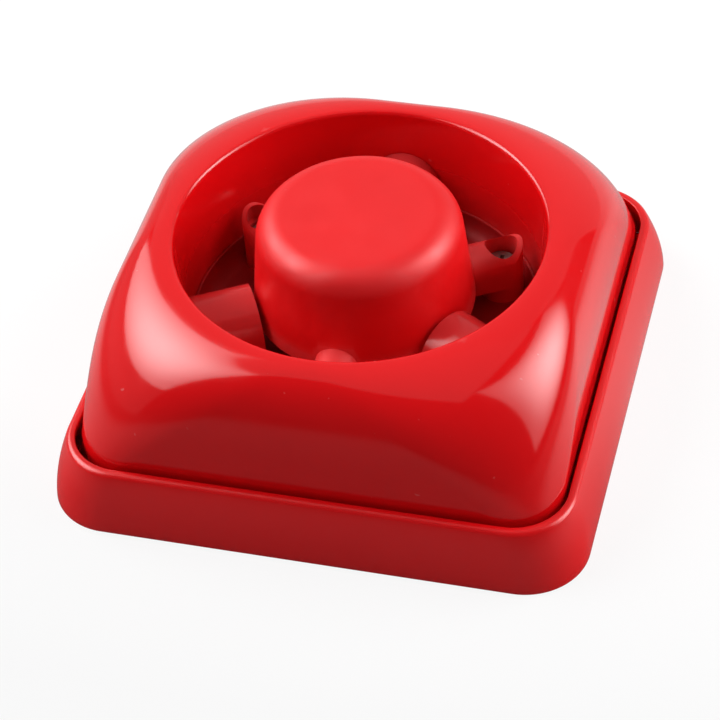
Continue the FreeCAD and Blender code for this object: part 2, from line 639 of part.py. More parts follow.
def terminal_block():
    length = POLE_COUNT * POLE_PITCH + 2 * BLOCK_END_WALL
    housing = centred_block(length, BLOCK_DEPTH, 0, BLOCK_HEIGHT)
    holes = []
    pocket_low = CAGE_FOOT - RUNNING_CLEARANCE
    pocket_width = CAGE_WIDTH + 2 * RUNNING_CLEARANCE
    pocket_depth = CAGE_DEPTH + 2 * RUNNING_CLEARANCE
    window = CAGE_WIDTH / 2 - CAGE_WALL
    strip = TONGUE_WIDTH / 2
    back = tongue_back()
    for offset in pole_offsets():
        holes.append(centred_block(pocket_width, pocket_depth, pocket_low, POCKET_TOP, offset))
        holes.append(cylinder(CLAMP_HEAD + RUNNING_CLEARANCE, POCKET_TOP - OVER, BLOCK_HEIGHT + OVER, offset))
        holes.append(block(
            offset - window, offset + window, -BLOCK_DEPTH / 2 - OVER, 0, pocket_low, TONGUE_TOP))
        holes.append(block(offset - strip, offset + strip, 0, back, TONGUE_HEIGHT, TONGUE_TOP))
        holes.append(block(
            offset - strip, offset + strip, back - TONGUE_THICKNESS, back, -OVER, TONGUE_TOP))
    return block_place(cut_all(housing, holes))


def tongue_back():
    """How far behind the pole's centre the contact reaches: half way into the rear wall."""
    return (CAGE_DEPTH / 2 + BLOCK_DEPTH / 2) / 2 + TONGUE_THICKNESS / 2


def terminal_contacts():
    """One bent strip a pole: a tongue through the cage, a drop behind it and a pin through the board."""
    contacts = []
    strip = TONGUE_WIDTH / 2
    back = tongue_back()
    for offset in pole_offsets():
        tongue = block(offset - strip, offset + strip, -CAGE_DEPTH / 2, back, TONGUE_HEIGHT, TONGUE_TOP)
        drop = block(offset - strip, offset + strip, back - TONGUE_THICKNESS, back, 0, TONGUE_TOP)
        pin = centred_block(
            PIN_WIDTH, PIN_WIDTH, -BOARD_THICKNESS - PIN_PROUD, 0, offset, back - TONGUE_THICKNESS / 2)
        contacts.append(block_place(union([tongue, drop, pin])))
    return group(contacts)


def terminal_screw(offset):
    """A slotted clamp screw whose tip stands on the contact's tongue."""
    tip = TONGUE_TOP + TOUCH_GAP
    head_low = POCKET_TOP + 2 * RUNNING_CLEARANCE
    screw = cylinder(CLAMP_SHANK, tip, head_low, offset)
    screw = screw.fuse(cylinder(CLAMP_HEAD, head_low, head_low + CLAMP_HEAD_HEIGHT, offset))
    slot = centred_block(
        2 * (CLAMP_HEAD + OVER), CLAMP_SLOT, head_low + CLAMP_HEAD_HEIGHT / 2, BLOCK_HEIGHT + OVER, offset)
    return block_place(screw.cut(slot))


def terminal_cage(offset):
    """The rising cage at its lowest, open to the wire through the window in front."""
    cage = centred_block(CAGE_WIDTH, CAGE_DEPTH, CAGE_FOOT, CAGE_FOOT + CAGE_HEIGHT, offset)
    inner_width = CAGE_WIDTH - 2 * CAGE_WALL
    cage = cage.cut(centred_block(
        inner_width, CAGE_DEPTH + 2 * OVER, CAGE_FOOT + CAGE_WALL, CAGE_FOOT + CAGE_HEIGHT - CAGE_WALL,
        offset))
    thread = cylinder(CLAMP_SHANK + RUNNING_CLEARANCE, CAGE_FOOT + CAGE_WALL, BLOCK_HEIGHT, offset)
    return block_place(cage.cut(thread))


# ---- tone switches -------------------------------------------------------------------------------
def tone_offsets():
    return [(index - (TONE_COUNT - 1) / 2) * TONE_PITCH for index in range(TONE_COUNT)]


def tone_switch_body():
    length = TONE_COUNT * TONE_PITCH + 2 * TONE_END_WALL
    body = centred_block(length, TONE_DEPTH, BOARD_TOP, TONE_TOP, TONE_X, TONE_Y)
    slots = [
        centred_block(
            SLIDER_WIDTH + 2 * RUNNING_CLEARANCE, TONE_SLOT_LENGTH, TONE_TOP - TONE_SLOT_DEPTH,
            TONE_TOP + OVER, TONE_X + offset, TONE_Y)
        for offset in tone_offsets()]
    return cut_all(body, slots)


def tone_slider(offset):
    """A slider at the near end of its slot."""
    near = TONE_Y - TONE_SLOT_LENGTH / 2 + RUNNING_CLEARANCE
    low = TONE_TOP - TONE_SLOT_DEPTH + RUNNING_CLEARANCE
    x = TONE_X + offset
    return block(
        x - SLIDER_WIDTH / 2, x + SLIDER_WIDTH / 2, near, near + SLIDER_LENGTH, low, TONE_TOP + SLIDER_PROUD)


# ---- volume trimmer ------------------------------------------------------------------------------
def volume_trimmer_body():
    top = BOARD_TOP + TRIMMER_HEIGHT
    body = centred_block(TRIMMER_SIDE, TRIMMER_SIDE, BOARD_TOP, top, TRIMMER_X, TRIMMER_Y)
    recess_low = top - ROTOR_DEPTH - RUNNING_CLEARANCE
    recess = cylinder(ROTOR_RADIUS + RUNNING_CLEARANCE, recess_low, top + OVER, TRIMMER_X, TRIMMER_Y)
    bearing = cylinder(
        ROTOR_SHAFT + RUNNING_CLEARANCE, recess_low - ROTOR_SHAFT_DEPTH, top, TRIMMER_X, TRIMMER_Y)
    return cut_all(body, [recess, bearing])


def volume_rotor():
    top = BOARD_TOP + TRIMMER_HEIGHT + ROTOR_PROUD
    low = BOARD_TOP + TRIMMER_HEIGHT - ROTOR_DEPTH
    rotor = cylinder(ROTOR_RADIUS, low, top, TRIMMER_X, TRIMMER_Y)
    rotor = rotor.fuse(cylinder(ROTOR_SHAFT, low - ROTOR_SHAFT_DEPTH, low, TRIMMER_X, TRIMMER_Y))
    slot = block(
        TRIMMER_X - ROTOR_SLOT_SHORT, TRIMMER_X + ROTOR_SLOT_LONG, TRIMMER_Y - ROTOR_SLOT_WIDTH / 2,
        TRIMMER_Y + ROTOR_SLOT_WIDTH / 2, top - ROTOR_DEPTH / 2, top + OVER)
    return rotor.cut(slot)


# ---- cover-off switch ----------------------------------------------------------------------------
def tamper_housing():
    body = centred_block(TAMPER_SIDE, TAMPER_SIDE, BOARD_TOP, TAMPER_TOP, TAMPER_X, TAMPER_Y)
    hollow = cylinder(
        PLUNGER_FLANGE + RUNNING_CLEARANCE, BOARD_TOP + TAMPER_WALL, TAMPER_TOP - TAMPER_WALL, TAMPER_X,
        TAMPER_Y)
    neck = cylinder(
        PLUNGER_RADIUS + RUNNING_CLEARANCE, TAMPER_TOP - TAMPER_WALL - OVER, TAMPER_TOP + OVER, TAMPER_X,
        TAMPER_Y)
    return cut_all(body, [hollow, neck])


def flange_low():
    """The plunger's flange stands this high at rest, pressed down a little from its stop by the cover."""
    return TAMPER_TOP - TAMPER_WALL - PLUNGER_FLANGE_HEIGHT - PLUNGER_PRESSED


def tamper_plunger():
    low = flange_low()
    stem = cylinder(PLUNGER_RADIUS, low, PLUNGER_TOP, TAMPER_X, TAMPER_Y)
    flange = cylinder(PLUNGER_FLANGE, low, low + PLUNGER_FLANGE_HEIGHT, TAMPER_X, TAMPER_Y)
    return stem.fuse(flange).removeSplitter()


def tamper_spring():
    """A helix of round wire between the housing's floor and the plunger's flange."""
    low = BOARD_TOP + TAMPER_WALL + SPRING_WIRE + TOUCH_GAP
    high = flange_low() - SPRING_WIRE - TOUCH_GAP
    pitch = (high - low) / SPRING_TURNS
    path = Part.makeHelix(pitch, high - low, SPRING_RADIUS)
    section = Part.Wire(Part.Circle(Vector(SPRING_RADIUS, 0, 0), Vector(0, 1, 0), SPRING_WIRE).toShape())
    spring = Part.Wire(path.Edges).makePipeShell([section], True, True)
    return moved(spring, TAMPER_X, TAMPER_Y, low)


# ---- parts soldered to the board -----------------------------------------------------------------
def reservoir_capacitor():
    can = cylinder(CAN_RADIUS, BOARD_TOP, BOARD_TOP + CAN_HEIGHT, CAN_X, CAN_Y)
    groove_low = BOARD_TOP + CAN_GROOVE_HEIGHT
    groove = ring(
        CAN_RADIUS + OVER, CAN_RADIUS - CAN_GROOVE, groove_low, groove_low + CAN_GROOVE_WIDTH, CAN_X, CAN_Y)
    return can.cut(groove)


def coil_core():
    flange_high = BOARD_TOP + COIL_HEIGHT
    return union([
        cylinder(COIL_RADIUS, BOARD_TOP, BOARD_TOP + COIL_FLANGE, COIL_X, COIL_Y),
        cylinder(COIL_CORE_RADIUS, BOARD_TOP, flange_high, COIL_X, COIL_Y),
        cylinder(COIL_RADIUS, flange_high - COIL_FLANGE, flange_high, COIL_X, COIL_Y)])


def coil_winding():
    low = BOARD_TOP + COIL_FLANGE
    high = BOARD_TOP + COIL_HEIGHT - COIL_FLANGE
    return ring(COIL_RADIUS - COIL_WINDING_INSET, COIL_CORE_RADIUS, low, high, COIL_X, COIL_Y)


def surface_chip(length, width, height, foot, feet, x, y):
    """A moulded body with flat feet along both long sides."""
    made = [centred_block(length, width, BOARD_TOP + CHIP_STANDOFF, BOARD_TOP + height, x, y)]
    pitch = length / feet
    for index in range(feet):
        foot_x = x + (index - (feet - 1) / 2) * pitch
        made.append(centred_block(
            pitch * FOOT_SHARE, width + 2 * foot, BOARD_TOP, BOARD_TOP + FOOT_THICKNESS, foot_x, y))
    return union(made)


def small_chips(count, height, x, y):
    """Small two-ended parts side by side, one chip's width apart."""
    return group([
        centred_block(
            SMALL_CHIP_WIDTH, SMALL_CHIP_LENGTH, BOARD_TOP, BOARD_TOP + height,
            x + 2 * SMALL_CHIP_WIDTH * index, y)
        for index in range(count)])


# ---- every piece ---------------------------------------------------------------------------------
def pieces():
    made = {
        "base_tray": base_tray(),
        "front_cover": front_cover(),
        "horn_bowl": horn_bowl(),
        "hub_cap": hub_cap(),
        "front_screws": front_screws(),
        "driver_gasket": driver_gasket(),
        "brass_disc": brass_disc(),
        "ceramic_disc": ceramic_disc(),
        "driver_retainer": driver_retainer(),
        "retainer_screws": retainer_screws(),
        "disc_lead": disc_lead(),
        "ceramic_lead": ceramic_lead(),
        "circuit_board": circuit_board(),
        "board_screws": board_screws(),
        "terminal_block": terminal_block(),
        "terminal_contacts": terminal_contacts(),
        "tone_switch_body": tone_switch_body(),
        "volume_trimmer_body": volume_trimmer_body(),
        "volume_rotor": volume_rotor(),
        "tamper_housing": tamper_housing(),
        "tamper_plunger": tamper_plunger(),
        "tamper_spring": tamper_spring(),
        "reservoir_capacitor": reservoir_capacitor(),
        "coil_core": coil_core(),
        "coil_winding": coil_winding(),
        "control_chip": surface_chip(**CONTROL_CHIP),
        "driver_transistor": surface_chip(**DRIVER_TRANSISTOR),
        "polarity_diode": surface_chip(**POLARITY_DIODE),
        "chip_resistors": small_chips(**RESISTORS),
        "chip_capacitors": small_chips(**CAPACITORS),
    }
    for index, offset in enumerate(pole_offsets(), start=1):
        made[f"terminal_screw_{index}"] = terminal_screw(offset)
        made[f"terminal_cage_{index}"] = terminal_cage(offset)
    for index, offset in enumerate(tone_offsets(), start=1):
        made[f"tone_slider_{index}"] = tone_slider(offset)
    return made


os.makedirs("parts", exist_ok=True)
for name, shape in pieces().items():
    shape.exportStep(f"parts/{name}.step")
    box = shape.BoundBox
    print(
        f"{name:22s} solids {len(shape.Solids)} valid {shape.isValid()} volume {shape.Volume:10.2f} "
        f"z {box.ZMin:6.2f} {box.ZMax:6.2f} x {box.XMin:6.1f} {box.XMax:6.1f} "
        f"y {box.YMin:6.1f} {box.YMax:6.1f}")
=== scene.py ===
"""Looks of a red wall sounder on the frame of its solids: shells, procedural finishes, studio, camera."""
import json
import math
import bmesh
import bpy
from mathutils import Matrix, Vector


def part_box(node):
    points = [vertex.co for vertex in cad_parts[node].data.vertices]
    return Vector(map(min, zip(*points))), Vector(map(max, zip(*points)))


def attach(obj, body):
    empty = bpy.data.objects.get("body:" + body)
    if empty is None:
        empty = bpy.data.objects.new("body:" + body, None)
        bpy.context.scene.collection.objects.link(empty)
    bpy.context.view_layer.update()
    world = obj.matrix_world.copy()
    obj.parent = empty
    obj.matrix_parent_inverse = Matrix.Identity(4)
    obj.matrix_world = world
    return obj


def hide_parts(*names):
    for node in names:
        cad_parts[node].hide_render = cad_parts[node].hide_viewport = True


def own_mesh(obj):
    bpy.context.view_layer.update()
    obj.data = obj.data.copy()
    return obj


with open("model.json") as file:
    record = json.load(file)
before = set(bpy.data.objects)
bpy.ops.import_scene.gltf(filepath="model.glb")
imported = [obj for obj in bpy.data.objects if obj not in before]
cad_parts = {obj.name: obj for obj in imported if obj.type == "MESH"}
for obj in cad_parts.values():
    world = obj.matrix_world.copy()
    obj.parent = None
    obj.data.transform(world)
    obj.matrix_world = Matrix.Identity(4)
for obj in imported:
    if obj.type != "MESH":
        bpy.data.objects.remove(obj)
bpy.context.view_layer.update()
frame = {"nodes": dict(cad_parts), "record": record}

MM = 0.001
BODY = "housing"

# ---- sizes of the moulded pieces in millimetres --------------------------------------------------
# They are the solids' sizes, apart from the tray's bowed side and rounder rim and the bowl's cove.
OVER = 1.0                   # how far a part that is joined or cut stands beyond the face it meets
HAIR = 0.01                  # keeps two faces that would lie in one plane apart
# front cover
COVER_HALF = 54.0            # half width of the skirt
COVER_CORNER = 13.4
COVER_LOW = 2.5
COVER_KNEE = 14.8            # height at which the skirt starts to roll over
COVER_TOP = 43.2
COVER_WALL = 2.2
RISE_POWER = 3.7             # how late the side rolls over: higher is squarer
ROLL_POWER = 1.8             # how full the shoulder is
CREST = 42.35                # radius at which the dome ends round the mouth
MOUTH = 41.1
MOUTH_ROUND = 1.1            # rounding of the mouth's edge
DRAFT = 4.3                  # degrees, the mouth narrows inwards
SKIRT_WALL = 1.9             # wall of the mouth's skirt
LIP_LOW = 12.5               # inward lip that the bowl clamps
LIP_TOP = 14.0
LIP_WIDTH = 2.4
RIB_PLACE = (40.0, -40.0)    # rib that holds the cover-off switch down
RIB_RADIUS = 2.4
RIB_LOW = 21.05
RIB_SKIN = 1.1               # left between the rib's end and the dome's outside
# base tray
TRAY_HALF = 60.0
TRAY_CORNER = 14.1
TRAY_TOP = 15.1
TRAY_FLOOR = 2.5
TRAY_WALL = 1.9
TRAY_LEAN = 3.4              # how far the side leans in on its way up to the rim
TRAY_BOW = 1.8               # how much the outside bulges on that way: 1 is straight
RIM_CORNER = 13.6            # corner radius at the rim, for a side without the bow
RIM_ROUND = 1.5              # rounding of the rim's outer edge
RIM_INNER = 0.35             # rounding of its inner edge
FOOT_EDGE = ((0, 0.25), (0.07, 0.07), (0.25, 0))     # (height, inset) up the softened foot
CABLE_DISTANCE = 40.5        # from the middle to the cable hole, towards the corner at -X, -Y
BOARD_SCREW_X = 44
BOARD_SCREW_Y = 14
WALL_HOLE_CIRCLE = 46
WALL_HOLE_ANGLES = (0, 90, 180, 270)
# bosses on the tray's floor: radius and top of the boss, then radius and low end of its hole
SCREW_BOSS = (3.85, 14.0, 1.65, 4.15)
BOARD_BOSS = (2.6, 6.5, 1.35, 3.05)
WALL_BOSS = (5.0, 4.0, 2.25, -OVER)
CABLE_BOSS = (7.0, 5.5, 5.5, -OVER)
# bowl at the bottom of the mouth
BOWL_LOW = 14.0
BOWL_FLOOR = 16.0
BOWL_RIM = 20.0
BOWL_GAP = 0.2               # to the mouth's wall
COVE = 4.0                   # rounding between floor and rim
COVE_LEDGE = 0.5             # flat top of the rim beside it
RIDGE_ANGLES = (90, 210, 330)
RIDGE_RADIUS = 8.8
RIDGE_AXIS = 23.4            # height of the round top's axis
RIDGE_START = 25.2           # distance of the inner end from the middle
RIDGE_WALL = 1.8
RIDGE_SEAM = 0.03            # gap to the mouth's wall that the ridges have beyond the bowl's
TOWER_OUT = 15.0
TOWER_IN = 13.0
TOWER_TOP = 36.0
THROAT = 9.0
COLLAR_OUT = 19.8            # collar of the sound driver under the bowl
COLLAR_IN = 17.8
COLLAR_LOW = 10.7
EAR_CIRCLE = 21.5            # the collar's three screw ears
EAR_RADIUS = 2.8
EAR_PILOT = 0.95
EAR_PILOT_TOP = 13.35
SHANK_HOLE = 1.9             # for the long screws
FLOOR_JOINT = 0.5            # over the bowl's underside, within its floor: ridges start, collar ends
EAR_JOINT = 0.4              # the same for the collar's ears
BORE_LOW = 9.0               # in free space under the collar
THROAT_CUT = (10.0, 35.5)    # heights under the floor and in the tower's hollow
# reflector cap, with its arms and posts
HUB_LOW = 24.0
HUB_TOP = 48.5
HUB_LOW_RADIUS = 24.9
HUB_TOP_RADIUS = 22.35       # before the top edge is rounded
HUB_ROUND = 6.3
HUB_WALL = 2.0
ARM_ANGLES = (30, 150, 270)
ARM_RADIUS = 4.9             # round top of each arm, and its post
ARM_AXIS = 25.0
ARM_ROOT = 1.5               # how far the arms reach in past the cap's wall
ARM_CUT = (15.0, 40.0)       # heights safely below and above the arms
POST_CIRCLE = 32.2044
POST_MOUTH = 3.7             # radius of the open hole down to the screw
POST_SEAT = 22.2             # height of the screw's seat in it
# spring of the cover-off switch
SPRING_WIRE = 0.25
SPRING_TURNS = 4
# small softened edges and the counts of a mesh's steps
SHELL_EDGE = 0.3
NODE_EDGE = 0.08
ROUND_STEPS = 12
FINE_COUNT = 192
MIDDLE = [(0, 0)]


def mouth_wall(z):
    """Radius of the mouth's drafted wall at a height."""
    return MOUTH - (COVER_TOP - z) * math.tan(math.radians(DRAFT))


# ---- mesh helpers --------------------------------------------------------------------------------
def square_ring(half, corner, z, quarter=64, thinning=0.65):
    """Points round a rounded square; its straight sides shrink to nothing as it becomes a circle.

    The sides get fewer points than their length would give them, by the thinning.
    """
    straight = max(half - corner, 0.0)
    arc = corner * math.pi / 2
    share = thinning * 2 * straight / (2 * straight + arc)
    points = []
    for cos, sin in ((1, 0), (0, 1), (-1, 0), (0, -1)):
        for step in range(quarter):
            u = step / quarter
            if u < share / 2:
                x, y = half, straight * u / (share / 2)
            elif u > 1 - share / 2:
                x, y = straight * (1 - u) / (share / 2), half
            else:
                angle = (u - share / 2) / (1 - share) * math.pi / 2
                x, y = straight + corner * math.cos(angle), straight + corner * math.sin(angle)
            points.append((x * cos - y * sin, x * sin + y * cos, z))
    return points


def round_ring(radius, z, count=256):
    return [
        (radius * math.cos(2 * math.pi * i / count), radius * math.sin(2 * math.pi * i / count), z)
        for i in range(count)]


def polar(radius, degrees):
    return radius * math.cos(math.radians(degrees)), radius * math.sin(math.radians(degrees))


def from_bmesh(name, bm):
    bmesh.ops.recalc_face_normals(bm, faces=bm.faces)
    mesh = bpy.data.meshes.new(name)
    bm.to_mesh(mesh)
    bm.free()
    piece = bpy.data.objects.new(name, mesh)
    bpy.context.scene.collection.objects.link(piece)
    return piece


def skinned(name, rings, closed=False):
    """A closed mesh through rings of equally many points, with its two ends capped or joined."""
    bm = bmesh.new()
    rows = [[bm.verts.new(Vector(point) * MM) for point in ring] for ring in rings]
    pairs = list(zip(rows, rows[1:]))
    if closed:
        pairs.append((rows[-1], rows[0]))
    for low, high in pairs:
        for i in range(len(low)):
            j = (i + 1) % len(low)
            bm.faces.new((low[i], low[j], high[j], high[i]))
    if not closed:
        bm.faces.new(list(reversed(rows[0])))
        bm.faces.new(rows[-1])
    return from_bmesh(name, bm)


def add_prism(bm, rings, degrees=0):
    """Adds the closed prism between two rings of points, turned about the upright axis."""
    turn = Matrix.Rotation(math.radians(degrees), 3, "Z")
    low, high = ([bm.verts.new(turn @ (Vector(point) * MM)) for point in ring] for ring in rings)
    for i in range(len(low)):
        j = (i + 1) % len(low)
        bm.faces.new((low[i], low[j], high[j], high[i]))
    bm.faces.new(list(reversed(low)))
    bm.faces.new(high)


def drum(name, places, radius, low, high, count=96):
    """Upright round pegs, used to add or to cut."""
    bm = bmesh.new()
    for x, y in places:
        rings = [round_ring(radius, end, count) for end in (low, high)]
        add_prism(bm, [[(x + u, y + v, z) for u, v, z in ring] for ring in rings])
    return from_bmesh(name, bm)


def vault(name, radius, axis, start, end, low, angles, steps=64):
    """Bars along the given directions with a half-round top and upright sides."""
    outline = [(-radius, low), (radius, low)]
    outline += [
        (radius * math.cos(math.pi * i / steps), axis + radius * math.sin(math.pi * i / steps))
        for i in range(steps + 1)]
    bm = bmesh.new()
    for degrees in angles:
        add_prism(bm, [[(x, y, z) for y, z in outline] for x in (start, end)], degrees)
    return from_bmesh(name, bm)


def lathe(name, profile, count=FINE_COUNT):
    """A solid of revolution from (radius, height) points; a point on the axis closes it there."""
    bm = bmesh.new()
    rows = []
    for radius, z in profile:
        if radius == 0:
            rows.append([bm.verts.new(Vector((0, 0, z)) * MM)])
        else:
            rows.append([bm.verts.new(Vector(point) * MM) for point in round_ring(radius, z, count)])
    ends = list(zip(rows, rows[1:]))
    if len(rows[0]) > 1:
        ends.append((rows[-1], rows[0]))
    for low, high in ends:
        for i in range(count):
            j = (i + 1) % count
            if len(low) == 1 and len(high) == 1:
                continue
            if len(low) == 1:
                bm.faces.new((low[0], high[j], high[i]))
            elif len(high) == 1:
                bm.faces.new((low[i], low[j], high[0]))
            else:
                bm.faces.new((low[i], low[j], high[j], high[i]))
    return from_bmesh(name, bm)


def combined(piece, other, operation):
    """Adds, cuts or intersects one mesh with another, and drops the other."""
    step = piece.modifiers.new("combine", "BOOLEAN")
    step.operation = operation
    step.solver = "EXACT"
    step.object = other
    shaped = bpy.data.meshes.new_from_object(piece.evaluated_get(bpy.context.evaluated_depsgraph_get()))
    piece.modifiers.clear()
    old = piece.data
    piece.data = shaped
    bpy.data.meshes.remove(old)
    bpy.data.objects.remove(other)
    return piece


def soften(piece, width, angle=32, segments=2):
    """Rounds the edges that are sharper than an angle in degrees."""
    edge = piece.modifiers.new("soft_edges", "BEVEL")
    edge.width = width * MM
    edge.segments = segments
    edge.limit_method = "ANGLE"
    edge.angle_limit = math.radians(angle)
    edge.harden_normals = True
    edge.use_clamp_overlap = True


def finished(piece, name, material, *nodes, bevel=0.0, sharp=32):
    """Names a piece, shades it smooth up to its sharp edges, softens those, and rides it on the housing."""
    piece.name = name
    piece.data.name = name
    piece.data.materials.clear()
    piece.data.materials.append(material)
    for polygon in piece.data.polygons:
        polygon.use_smooth = True
        polygon.material_index = 0
    piece.data.set_sharp_from_angle(angle=math.radians(sharp))
    if bevel:
        soften(piece, bevel, sharp)
    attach(piece, BODY)
    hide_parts(*nodes)
    return piece


# ---- front cover ---------------------------------------------------------------------------------
def dome_section(roll, inset):
    """(half, corner, height) of the cover's section at a roll angle, 0 at the knee and 90 at the crest."""
    rise = math.sin(math.radians(roll)) ** (2 / RISE_POWER)
    width = max(math.cos(math.radians(roll)), 0.0) ** (2 / ROLL_POWER)
    half = CREST + (COVER_HALF - inset - CREST) * width
    corner = COVER_CORNER - inset + (CREST - COVER_CORNER + inset) * rise
    return half, min(corner, half), COVER_KNEE + (COVER_TOP - inset - COVER_KNEE) * rise


def even_rolls(inset, count, samples=1500, crowding=1.6):
    """Roll angles evenly spaced along the mean of the dome's side and corner profiles."""
    fine = [90 * (i / samples) ** crowding for i in range(samples + 1)]
    length = [0.0]
    for a, b in zip(fine, fine[1:]):
        (h0, c0, z0), (h1, c1, z1) = dome_section(a, inset), dome_section(b, inset)
        side = math.hypot(h1 - h0, z1 - z0)
        # Across its corners a rounded square reaches 1.414 half widths less 0.414 corner radii.
        corner = math.hypot(1.414 * (h1 - h0) - 0.414 * (c1 - c0), z1 - z0)
        length.append(length[-1] + side + corner)
    rolls, k = [], 0
    for i in range(count + 1):
        want = length[-1] * i / count
        while k < len(length) - 2 and length[k + 1] < want:
            k += 1
        t = (want - length[k]) / (length[k + 1] - length[k])
        rolls.append(fine[k] + t * (fine[k + 1] - fine[k]))
    return rolls


def cover_shell():
    """The cover as one closed skin, from the skirt's foot over the dome and down the mouth, and back inside.

    The bare heights are rows of the mesh on straight walls.
    """
    rings = [square_ring(COVER_HALF, COVER_CORNER, z) for z in (COVER_LOW, 6, 10, 13)]
    rings += [square_ring(*dome_section(roll, 0)) for roll in even_rolls(0, 60)]
    edge_low = COVER_TOP - MOUTH_ROUND
    centre = mouth_wall(edge_low) + MOUTH_ROUND / math.cos(math.radians(DRAFT))
    for i in range(ROUND_STEPS + 1):
        angle = math.radians(90 + (90 - DRAFT) * i / ROUND_STEPS)
        radius = centre + MOUTH_ROUND * math.cos(angle)
        rings.append(round_ring(radius, edge_low + MOUTH_ROUND * math.sin(angle)))
    rings += [round_ring(mouth_wall(z), z) for z in (38, 32, 26, 20, LIP_TOP)]
    rings += [round_ring(mouth_wall(LIP_TOP) - LIP_WIDTH, z) for z in (LIP_TOP, LIP_LOW)]
    rings += [round_ring(mouth_wall(z) + SKIRT_WALL, z) for z in (LIP_LOW, 20, 30, 40.5)]
    # The inside of the dome ends a little below its crest, where it meets the skirt.
    inner = [82] + [roll for roll in even_rolls(COVER_WALL, 24) if roll < 80][::-1]
    rings += [square_ring(*dome_section(roll, COVER_WALL)) for roll in inner]
    rings.append(square_ring(COVER_HALF - COVER_WALL, COVER_CORNER - COVER_WALL, COVER_LOW))
    shell = skinned("cover_shell", rings, closed=True)
    limit = [square_ring(COVER_HALF - RIB_SKIN, COVER_CORNER - RIB_SKIN, COVER_LOW)]
    limit += [square_ring(*dome_section(roll, RIB_SKIN)) for roll in even_rolls(RIB_SKIN, 24)]
    rib = drum("rib", [RIB_PLACE], RIB_RADIUS, RIB_LOW, COVER_TOP)
    rib = combined(rib, skinned("rib_limit", limit), "INTERSECT")
    return combined(shell, rib, "UNION")


# ---- base tray -----------------------------------------------------------------------------------
def tray_side(z):
    """Half width of the side without its bow, which the inner wall follows."""
    return TRAY_HALF - TRAY_LEAN * z / TRAY_TOP


def tray_outside(z):
    """Half width of the outer wall, which bows out a little from its straight draft."""
    return TRAY_HALF - TRAY_LEAN * (z / TRAY_TOP) ** TRAY_BOW


def tray_ring(half, z):
    """The tray's section at a height; its corners are a little rounder at the rim than at the wall."""
    corner = TRAY_CORNER + (RIM_CORNER - TRAY_CORNER) * z / TRAY_TOP
    return square_ring(half, corner - (tray_side(z) - half), z)


def tray_shell():
    draft = math.atan2(TRAY_LEAN, TRAY_TOP)
    low = TRAY_TOP - RIM_ROUND
    lean = math.atan(TRAY_LEAN * TRAY_BOW / TRAY_TOP * (low / TRAY_TOP) ** (TRAY_BOW - 1))
    rings = [tray_ring(tray_outside(z) - inset, z) for z, inset in FOOT_EDGE]
    rings += [tray_ring(tray_outside(z), z) for z in (1.5, 3, 4.5, 6, 7.5, 9, 10.5, 12, 13)]
    outer = tray_outside(low) - RIM_ROUND / math.cos(lean)
    inner = tray_side(TRAY_TOP - RIM_INNER) - TRAY_WALL + RIM_INNER / math.cos(draft)
    for centre, radius, first, last in (
            (outer, RIM_ROUND, lean, math.pi / 2), (inner, RIM_INNER, math.pi / 2, math.pi + draft)):
        for i in range(ROUND_STEPS + 1):
            angle = first + (last - first) * i / ROUND_STEPS
            z = TRAY_TOP - radius + radius * math.sin(angle)
            rings.append(tray_ring(centre + radius * math.cos(angle), z))
    rings += [tray_ring(tray_side(z) - TRAY_WALL, z) for z in (10, 6, TRAY_FLOOR)]
    tray = skinned("tray_shell", rings)
    cable = -CABLE_DISTANCE / math.sqrt(2)
    fittings = (
        ([polar(POST_CIRCLE, angle) for angle in ARM_ANGLES], *SCREW_BOSS),
        ([(side * BOARD_SCREW_X, end * BOARD_SCREW_Y) for side in (-1, 1) for end in (-1, 1)], *BOARD_BOSS),
        ([polar(WALL_HOLE_CIRCLE, angle) for angle in WALL_HOLE_ANGLES], *WALL_BOSS),
        ([(cable, cable)], *CABLE_BOSS))
    for places, radius, top, _, _ in fittings:
        tray = combined(tray, drum("boss", places, radius, TRAY_FLOOR - OVER, top), "UNION")
    for places, _, top, radius, hole_low in fittings:
        tray = combined(tray, drum("hole", places, radius, hole_low, top + OVER), "DIFFERENCE")
    return tray


# ---- reflector cap -------------------------------------------------------------------------------
def arc_points(centre_r, centre_z, radius, first, last, steps):
    """(radius, height) points along an arc between two angles in degrees."""
    points = []
    for i in range(steps + 1):
        r, z = polar(radius, first + (last - first) * i / steps)
        points.append((centre_r + r, centre_z + z))
    return points


def cone_with_round(low_radius, top_radius, low, top, radius, steps, side_steps=6):
    """Outline from the axis at the top, over a rounded edge, down a cone to its low edge."""
    slope = math.atan2(low_radius - top_radius, top - low)
    centre_z = top - radius
    side = low_radius + (top_radius - low_radius) * (centre_z - low) / (top - low)
    centre_r = side - radius / math.cos(slope)
    flat = [(centre_r * share, top) for share in (0.25, 0.5, 0.75, 0.9)]
    edge = arc_points(centre_r, centre_z, radius, 90, math.degrees(slope), steps)
    last_r, last_z = edge[-1]
    wall = [
        (last_r + (low_radius - last_r) * i / side_steps, last_z + (low - last_z) * i / side_steps)
        for i in range(1, side_steps + 1)]
    return [(0, top)] + flat + edge + wall


def foot_prints(start, steps=48):
    """Upright prisms with the arms' outline from above, round at the post."""
    around_post = [polar(ARM_RADIUS, -90 + 180 * i / steps) for i in range(steps + 1)]
    outline = [(start, -ARM_RADIUS)] + [(POST_CIRCLE + x, y) for x, y in around_post] + [(start, ARM_RADIUS)]
    bm = bmesh.new()
    for degrees in ARM_ANGLES:
        add_prism(bm, [[(x, y, z) for x, y in outline] for z in ARM_CUT], degrees)
    return from_bmesh("foot_prints", bm)


